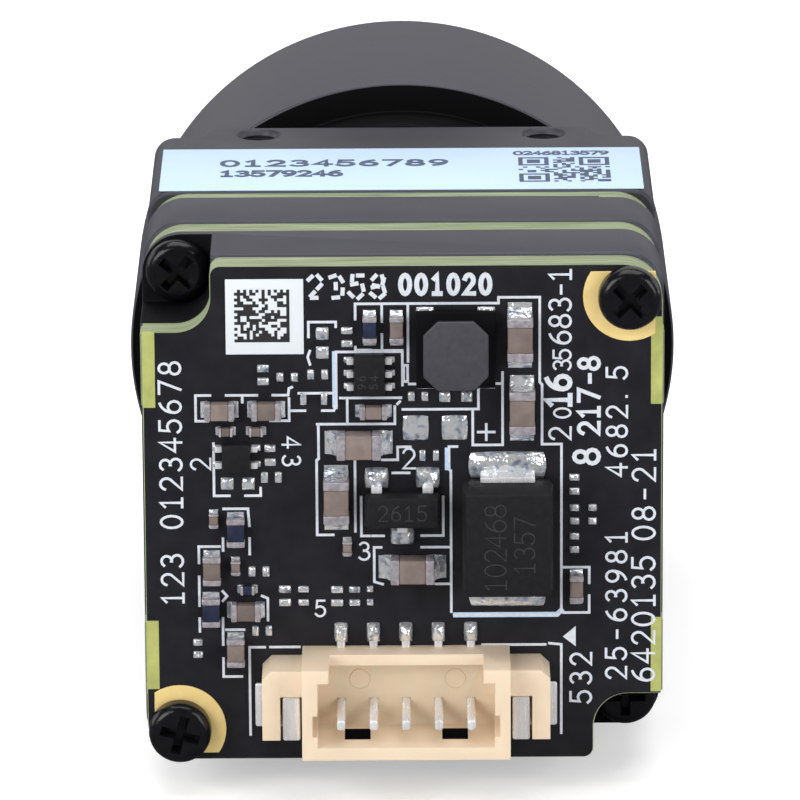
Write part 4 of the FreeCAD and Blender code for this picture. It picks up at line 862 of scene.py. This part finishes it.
def add_strip(shape, points, width, to_space, base):
    """Adds a flat-topped strip along a path; to_space turns (right, up, height) into a place. Open ends
    reach past the path by a share of the half width, and sharp corners stay blunt."""
    half, reach, blunt = width / 2, 0.8, 0.55
    spots = [Vector(point) for point in points]
    spots = [spot for k, spot in enumerate(spots) if k == 0 or (spot - spots[k - 1]).length > 1e-5]
    closed = (spots[0] - spots[-1]).length < 1e-5
    if closed:
        spots.pop()
    count = len(spots)
    low, high = [], []
    for k, spot in enumerate(spots):
        before = spots[k - 1] if closed or k > 0 else None
        after = spots[(k + 1) % count] if closed or k < count - 1 else None
        into = (spot - before).normalized() if before is not None else (after - spot).normalized()
        out = (after - spot).normalized() if after is not None else into
        side_in, side_out = Vector((-into.y, into.x)), Vector((-out.y, out.x))
        side = side_in + side_out
        side = side.normalized() if side.length > 1e-6 else side_in
        side *= half / max(blunt, side.dot(side_in))
        if before is None:
            spot = spot - out * half * reach
        if after is None:
            spot = spot + into * half * reach
        for line, height in ((low, 0.0), (high, base + PRINT_CLIMB * k / count)):
            line.append([shape.verts.new(to_space(p.x, p.y, height)) for p in (spot + side, spot - side)])
    for k in range(count if closed else count - 1):
        n = (k + 1) % count
        shape.faces.new((high[k][0], high[k][1], high[n][1], high[n][0]))
        shape.faces.new((low[k][0], high[k][0], high[n][0], low[n][0]))
        shape.faces.new((high[k][1], low[k][1], low[n][1], high[n][1]))
    if not closed:
        for k in (0, count - 1):
            shape.faces.new((low[k][0], low[k][1], high[k][1], high[k][0]))


def rear_space(node, lift=1.0):
    """Turns (right, up, height) into a place on a node's rear face."""
    face = box_mm(node)[0].y

    def space(right, up, height):
        return (right, face - height * lift, up)
    return space


def top_space(node):
    """Turns (right, up, height) into a place on a node's top."""
    face = box_mm(node)[1].z

    def space(right, up, height):
        return (right, up, face + height)
    return space


ON_BOARD = rear_space("rear_board")


def print_piece(name, paths, width, material, to_space):
    """A piece of print that follows the paths."""
    shape = bmesh.new()
    for number, points in enumerate(paths):
        add_strip(shape, points, width, to_space, PRINT_HEIGHT + PRINT_STEP * (number % 4))
    finish_piece(mesh_piece(name, shape), material)


def across(*stops, axis=0):
    """A path from (X, Z) that turns square at each further stop, and first runs along X."""
    path = [stops[:2]]
    for stop in stops[2:]:
        x, z = path[-1]
        path.append((stop, z) if axis == 0 else (x, stop))
        axis = 1 - axis
    return path


def upward(*stops):
    """The same, but the path first runs along Z."""
    return across(*stops, axis=1)


# Component outlines printed on the rear board, as paths of (X, Z) or by their stops
OUTLINES = (
    # two capacitors in the upper left, with their tick and mark
    across(-7.5, 3.8, -7.97, 4.83, -7.4), across(-6.8, 4.83, -5.6), upward(-6.17, 4.83, 4.55),
    ((-5.0, 4.83), (-4.4, 4.83), (-4.37, 5.1), (-4.25, 5.15)), across(-5.1, 3.8, -4.37, 4.7),
    across(-4.0, 4.9, -2.7), across(-4.3, 4.2, -3.75), ((-3.1, 4.2), (-2.65, 4.2), (-2.55, 4.4)),
    # brackets beside the sticker
    upward(-3.6, 7.15, 7.75, -2.55, 7.55), ((-3.55, 6.6), (-3.64, 6.35), (-3.55, 6.05)),
    # row of parts along the top
    ((-1.8, 7.85), (-1.8, 8.47), (3.7, 8.47), (3.7, 8.7), (5.28, 8.7), (5.28, 5.3), (5.37, 5.2),
     (5.37, 2.8), (6.12, 2.8), (6.12, -4.0)), upward(-0.78, 8.47, 7.75), upward(-0.78, 7.25, 6.6),
    upward(0.22, 8.47, 6.15), across(-1.75, 6.6, 0.0), upward(-1.8, 6.75, 6.62, -1.2),
    # regulator
    across(-2.4, 4.7, -0.05), upward(0.0, 5.2, 6.55, -2.55, 4.3),
    across(0.05, 5.35, 0.2, 6.0, 0.05, 5.35), upward(-2.13, 4.7, 3.65), across(-3.3, 3.65, -0.3, 4.35),
    ((-0.2, 4.45), (-0.1, 4.55)),
    # inductor and the big bare squares
    across(0.25, 5.25, 0.75), across(3.35, 5.25, 3.8), across(0.0, 4.23, 2.65),
    upward(3.85, 5.7, 2.78, 2.7, 4.23, 2.92, 5.0), across(2.9, 3.3, 3.54), upward(3.22, 2.98, 3.62),
    # the two large capacitors left of the middle
    ((-3.25, 3.65), (-3.25, 2.25), (-3.33, 2.2), (-3.33, -0.83), (-2.7, -0.83)),
    upward(-1.85, 2.15, -0.7), across(-0.8, 2.2, -0.2, 2.72, 0.3), across(-0.4, 1.67, 0.25),
    # transistor
    upward(-1.62, 0.7, -0.88, -1.3), across(-1.2, -0.88, -0.75), across(0.7, -0.88, 1.55, 0.7),
    across(0.7, -1.35, 1.8), ((-0.85, -1.35), (-1.13, -1.35), (-1.13, -2.75), (-0.8, -2.85)),
    across(1.25, -2.85, 1.8),
    # surge diode
    ((2.1, 2.72), (1.78, 2.72), (1.78, 1.8), (1.85, 1.75), (1.85, -4.0)), across(1.95, -4.12, 6.0),
    # capacitor right of the diode
    across(6.15, -2.2, 7.2, -2.85), upward(7.2, -3.35, -4.05, 6.2),
    # load switch
    upward(-7.3, 2.9, 0.78, -6.7), across(-6.1, 0.78, -5.5, 1.1),
    # parts in the lower left
    ((-6.95, 0.25), (-6.0, 0.25), (-5.95, -0.45)), upward(-5.95, -0.95, -1.6),
    upward(-6.98, -0.95, -1.45), across(-7.1, -1.28, -7.92, -1.95), upward(-7.92, -2.5, -3.7),
    upward(-7.92, -4.2, -4.75), ((-7.02, -3.1), (-6.85, -3.3), (-7.02, -3.5)),
    ((-5.5, -3.3), (-5.27, -3.4), (-5.27, -4.3)), across(-6.9, -4.68, -6.2), upward(-7.02, -4.2, -5.3),
    upward(-7.02, -5.85, -6.6, -6.3),
    # connector
    upward(-6.0, -9.0, -5.4, -5.4), across(-5.2, -5.4, -4.05), across(3.05, -5.35, 5.5),
    ((5.65, -5.3), (6.12, -5.35), (6.12, -9.0)),
)
BROAD_OUTLINES = (((2.0, -4.12), (5.95, -4.12), (6.12, -3.95)), ((-2.6, 6.5), (-2.6, 4.4)),
                  ((1.72, 2.6), (1.72, 1.85)))
POINTER = ((6.18, -5.03), (6.68, -4.6), (6.68, -5.43))

def numeral_rows(*rows):
    """Stroke paths of several level rows."""
    return [path for row in rows for path in numeral_paths(*row)]


# Numerals are given as text, place where the row begins, height and spacing, and read upwards in columns
NUMERAL_COLUMNS = columns(
    ("123", -8.54, -3.62, 0.83, 0.76), ("012345678", -8.54, -0.52, 0.83, 0.775),
    ("2", 6.47, 2.98, 0.82, 0.7), ("68", 6.47, 6.83, 0.82, 0.66), ("3-1", 6.47, 8.15, 0.82, 0.6),
    ("4682.5", 8.64, 1.5, 0.78, 0.785), ("25-63981", 8.64, -6.76, 0.78, 0.79),
    ("6420135", 9.73, -6.87, 0.86, 0.76), ("08-21", 9.73, -1.08, 0.86, 0.79),
    ("532", 7.28, -7.75, 0.8, 0.78))
SMALL_NUMERALS = (
    columns(("0", 6.47, 3.86, 0.64, 0.5), ("35", 6.47, 5.78, 0.66, 0.42), ("2", -7.43, 1.84, 0.75, 0.6))
    + turned("43", -4.64, 3.13, 0.68, 0.74)
    + numeral_rows(("2", 0.0, 1.85, 0.8, 0.6), ("3", -1.72, -1.85, 0.7, 0.6),
                   ("5", -3.42, -4.15, 0.64, 0.6)))
MEDIUM_NUMERALS = columns(("217", 7.56, 3.2, 0.78, 0.66), ("-8", 7.56, 5.2, 0.78, 0.6))
HEAVY_NUMERALS = (columns(("16", 6.45, 4.3, 0.92, 0.7))
                  + numeral_paths("001020", -0.06, 8.86, 0.74, 0.615, squeeze=0.82))
DOTTED_NUMERALS = [dash for stroke in numeral_paths("2358", -3.58, 8.72, 0.88, 0.8)
                   for dash in dashed(stroke, period=0.4, dash=0.2)]
# Print on the rear board: piece, paths, stroke width, material
BOARD_PRINT = (
    ("printed_outlines", OUTLINES, 0.1, "silk"),
    ("printed_broad_outlines", BROAD_OUTLINES, 0.2, "broad_silk"),
    ("printed_numerals", NUMERAL_COLUMNS, 0.1, "silk"),
    ("printed_small_numerals", SMALL_NUMERALS, 0.085, "silk"),
    ("printed_medium_numerals", MEDIUM_NUMERALS, 0.15, "silk"),
    ("printed_heavy_numerals", HEAVY_NUMERALS, 0.19, "silk"),
    ("printed_mark", columns(("8", 7.56, 2.0, 0.95, 0.8)), 0.17, "silk"),
    ("printed_dotted_numerals", DOTTED_NUMERALS, 0.16, "silk"),
)
# Faint numerals on the larger black parts: piece, node, stroke width, paths
MARKINGS = (
    ("diode_marking", "surge_diode", 0.05,
     columns(("102468", 3.95, -2.45, 0.82, 0.6), ("1357", 5.05, -1.75, 0.78, 0.6))),
    ("transistor_marking", "power_transistor", 0.05, numeral_paths("2615", -0.95, 0.05, 0.6, 0.5)),
    ("regulator_marking", "regulator", 0.035,
     columns(("96", -1.42, 5.25, 0.3, 0.32), ("54", -0.95, 5.25, 0.3, 0.32))),
)


def make_board_print():
    """Outlines, numerals and the pointer on the rear board."""
    for name, paths, width, material in BOARD_PRINT:
        print_piece(name, paths, width, material, ON_BOARD)
    shape = bmesh.new()
    shape.faces.new([shape.verts.new(ON_BOARD(x, z, POINTER_HEIGHT)) for x, z in POINTER])
    finish_piece(mesh_piece("printed_pointer", shape), "silk")


def make_markings():
    """Numerals moulded or lasered on black parts, lower than print."""
    low_relief = 0.3
    for name, node, width, paths in MARKINGS:
        print_piece(name, paths, width, "marking", rear_space(node, low_relief))


# Square patterns of cells that carry no code

def edged_cell(column, row, count, dice):
    """Whether a cell is filled where two edges are solid and two are dotted."""
    if column == count - 1 or row == 0:
        return True
    if column == 0 or row == count - 1:
        return (row + column) % 2 == 0
    return dice.random() < 0.52


def cornered_cell(column, row, count, dice):
    """Whether a cell is filled where three corners hold a ringed square."""
    marks = ((3, 3), (3, count - 4), (count - 4, count - 4))
    ring = min(max(abs(column - c), abs(row - r)) for c, r in marks)
    if ring <= 4:
        return ring in (0, 1, 3)
    return dice.random() < 0.5


def make_pattern(name, place, size, count, seed, filled, material, to_space):
    """A made-up square pattern; a cell is a little larger than its share, so that neighbours meet."""
    dice = random.Random(seed)
    shape = bmesh.new()
    step_x, step_y = size[0] / count, size[1] / count
    wide, tall = step_x * 1.02, step_y * 1.02
    for row in range(count):
        for column in range(count):
            if filled(column, row, count, dice):
                left, low = place[0] + column * step_x, place[1] + row * step_y
                corners = ((left, low), (left + wide, low), (left + wide, low + tall), (left, low + tall))
                shape.faces.new([shape.verts.new(to_space(x, y, CELL_HEIGHT)) for x, y in corners])
    finish_piece(mesh_piece(name, shape), material)


def make_sticker_print():
    """The sticker's pattern within its margins."""
    low, high = box_mm("code_sticker")
    left, right, foot, head = 0.34, 0.54, 0.49, 0.41
    place = (low.x + left, low.z + foot)
    size = (high.x - low.x - left - right, high.z - low.z - foot - head)
    count, seed, space = 18, 7, rear_space("code_sticker")
    make_pattern("sticker_pattern", place, size, count, seed, edged_cell, "sticker_ink", space)


def make_label_print():
    """The label's rows and pattern, whose stations are given from its rear edge."""
    rear = box_mm("top_label")[0].y
    space = top_space("top_label")
    left = -7.2
    rows = numeral_paths("0123456789", left, rear + 3.6, 0.85, 0.93, squeeze=1.25)
    rows += numeral_paths("13579246", left, rear + 2.05, 0.8, 0.62, squeeze=0.95)
    print_piece("label_numerals", rows, 0.2, "label_ink", space)
    small = numeral_paths("0246813579", 4.55, rear + 5.15, 0.52, 0.385)
    print_piece("label_small_numerals", small, 0.11, "label_ink", space)
    place, size, count, seed = (4.7, rear + 1.0), (3.65, 3.75), 21, 11
    make_pattern("label_pattern", place, size, count, seed, cornered_cell, "label_ink", space)


# Solder

def islands(node):
    """The boxes of the separate solids in a CAD node, in millimetres."""
    shape = bmesh.new()
    shape.from_mesh(frame["nodes"][node].data)
    bmesh.ops.remove_doubles(shape, verts=shape.verts, dist=WELD)
    seen, boxes = set(), []
    for seed in shape.verts:
        if seed in seen:
            continue
        stack, members = [seed], []
        seen.add(seed)
        while stack:
            vert = stack.pop()
            members.append(vert.co / MM)
            for edge in vert.link_edges:
                other = edge.other_vert(vert)
                if other not in seen:
                    seen.add(other)
                    stack.append(other)
        boxes.append([Vector([pick(p[axis] for p in members) for axis in range(3)]) for pick in (min, max)])
    shape.free()
    return boxes


def add_dome(shape, low, high, rise, dice, steps=7):
    """A wetted pad: a pillow of solder over a pad box, a little uneven."""
    rim_lift, full, flat, corner_pull, unevenness = 0.03, 3.2, 0.55, 0.07, 0.22
    phase = [dice.uniform(0, 6.28) for k in range(4)]
    grid = []
    for row in range(steps + 1):
        line = []
        for column in range(steps + 1):
            u, v = 2 * column / steps - 1, 2 * row / steps - 1
            # corners are drawn in so that the pad's outline is rounded
            pull = 1 - corner_pull * (u * v) ** 2
            edge = max(0.0, (1 - abs(u) ** full)) * max(0.0, (1 - abs(v) ** full))
            wave = 1 + unevenness * math.sin(3.1 * u + phase[0]) * math.cos(2.7 * v + phase[1])
            x = (low.x + high.x) / 2 + (high.x - low.x) / 2 * u * pull
            z = (low.z + high.z) / 2 + (high.z - low.z) / 2 * v * pull
            y = low.y + rim_lift - (rim_lift + rise * edge ** flat * wave)
            line.append(shape.verts.new((x, y, z)))
        grid.append(line)
    add_skin(shape, grid)
    rim = grid[0] + [line[-1] for line in grid[1:]] + grid[-1][-2::-1] + [line[0] for line in grid[-2:0:-1]]
    base = [shape.verts.new((vert.co.x, high.y, vert.co.z)) for vert in rim]
    bridge(shape, base, rim)
    shape.faces.new(base[::-1])


def add_fillet(shape, pad, end, dice):
    """Solder that climbs from the outer part of a pad to the outer face of a part's end."""
    (pad_low, pad_high), (end_low, end_high) = pad, end
    end_mid = (end_low + end_high) / 2
    offset = (pad_low + pad_high) / 2 - end_mid
    along = 0 if abs(offset.x) > abs(offset.z) else 2
    across = 2 - along
    sign = 1 if offset[along] > 0 else -1
    wall, toe = (end_high[along], pad_high[along]) if sign > 0 else (end_low[along], pad_low[along])
    climb = (end_high.y - end_low.y) * dice.uniform(0.62, 0.82)
    base = pad_low.y + 0.02
    half = min(pad_high[across] - pad_low[across], end_high[across] - end_low[across]) / 2 * 0.98
    phase = dice.uniform(0, 6.28)
    steps, rows = 8, 6
    grid = []
    for row in range(rows + 1):
        v = 2 * row / rows - 1
        line = []
        for column in range(steps + 1):
            u = column / steps
            ripple = 0.03 * math.sin(5 * u + 3 * v + phase) * u * (1 - u)
            height = climb * (1 - u) ** 2.1 * (1 - 0.28 * abs(v) ** 3) + ripple + 0.05 * (1 - u ** 4)
            spot = Vector((0, base - height, 0))
            spot[along] = wall + (toe - wall) * u - sign * 0.02 * (1 - u)
            spot[across] = end_mid[across] + half * v * (0.9 + 0.1 * u)
            line.append(shape.verts.new(spot))
        grid.append(line)
    add_skin(shape, grid)
    for line in (grid[0], grid[-1]):
        feet = [shape.verts.new((vert.co.x, base + 0.02, vert.co.z)) for vert in line]
        add_skin(shape, (line, feet))


def overlaps(first, second):
    """Whether two boxes overlap as seen from behind."""
    return all(first[0][axis] < second[1][axis] - 1e-4 and second[0][axis] < first[1][axis] - 1e-4
               for axis in (0, 2))


def all_islands(*nodes):
    """The boxes of the separate solids of several nodes."""
    return [box for node in nodes for box in islands(node)]


def make_solder():
    """All pads are wetted; those under a part's end also carry a fillet."""
    rise_under_end, rise_under_lead, highest, share = 0.02, 0.3, 0.10, 0.28
    dice = random.Random(3)
    ends = all_islands("capacitor_ends", "resistor_ends")
    leads = all_islands("surge_diode_leads", "power_transistor_leads", "connector_pins")
    domes, fillets = bmesh.new(), bmesh.new()
    for low, high in islands("solder_pads"):
        partner = next((end for end in ends if overlaps((low, high), end)), None)
        if partner:
            rise = rise_under_end
        elif any(overlaps((low, high), lead) for lead in leads):
            rise = rise_under_lead
        else:
            rise = min(highest, share * min(high.x - low.x, high.z - low.z))
        add_dome(domes, low, high, rise, dice)
        if partner:
            add_fillet(fillets, (low, high), partner, dice)
    finish_piece(smooth(mesh_piece("wetted_pads", domes), SOLDER_ANGLE), "solder", "solder_pads")
    finish_piece(smooth(mesh_piece("solder_fillets", fillets), SOLDER_ANGLE), "solder")


# Bare board along the four panel tabs: side, inner edge, low and high end
BARE_STRIPS = ((-1, 9.52, 4.35, 7.4), (-1, 9.52, -7.1, -4.3), (1, 9.56, 4.4, 7.9), (1, 9.6, -7.3, -4.25))


def make_bare_strips():
    """Thin strips of uncoated board beside the tabs."""
    shape = bmesh.new()
    for side, inner, low, high in BARE_STRIPS:
        left, right = sorted((side * inner, side * BOARD_HALF))
        add_block(shape, (left, BOARD_FACE - 0.01, low), (right, BOARD_FACE, high))
    finish_piece(mesh_piece("bare_tab_strips", shape), "bare_board")


# Threads in the tapped mounting holes of the housing and ejector marks in the header

def add_ridge(shape, centres, radii, axis="Y", segments=32):
    """A thin round ridge through rings with the centres and radii."""
    bridge_all(shape, [add_ring(shape, spot, r, segments, axis) for spot, r in zip(centres, radii)])


def make_hole_threads():
    """Ridges up the four tapped holes, two in the top and two below."""
    holes = next(mount for mount in frame["record"]["mounts"] if mount["name"] == "top_mount_holes")
    hole_x, hole_y = holes["dims"]["spacing_x_mm"] / 2, holes["pos_m"][1] / MM
    radius = holes["dims"]["hole_r_mm"]
    turns, pitch, crest, flank, start = 5, 0.4, 0.08, 0.13, 0.22
    shape = bmesh.new()
    for rise in (-1, 1):
        for side in (-1, 1):
            for turn in range(turns):
                z = HOUSING_TOP - start - turn * pitch
                centres = [(side * hole_x, hole_y, rise * (z + lift)) for lift in (flank, 0.0, -flank)]
                add_ridge(shape, centres, (radius, radius - crest, radius), "Z")
    finish_piece(smooth(mesh_piece("mount_hole_threads", shape)), "barrel")


def make_header_marks():
    """Round ejector marks on the header's floor."""
    radius, width, height, floor = 0.42, 0.05, 0.03, BOARD_FACE - 0.3
    shape = bmesh.new()
    for x, z in ((-1.7, -6.62), (1.98, -6.62)):
        centres = [(x, floor - lift, z) for lift in (0.0, height, 0.0)]
        add_ridge(shape, centres, (radius - width, radius - width / 2, radius))
    finish_piece(smooth(mesh_piece("header_ejector_marks", shape)), "nylon")


make_barrel()
make_front_element()
make_softened()
coat_inner_nodes()
make_all_screws()
make_board_print()
make_markings()
make_sticker_print()
make_label_print()
make_solder()
make_bare_strips()
make_hole_threads()
make_header_marks()
make_floor()
make_room()
make_lamps()
make_camera()
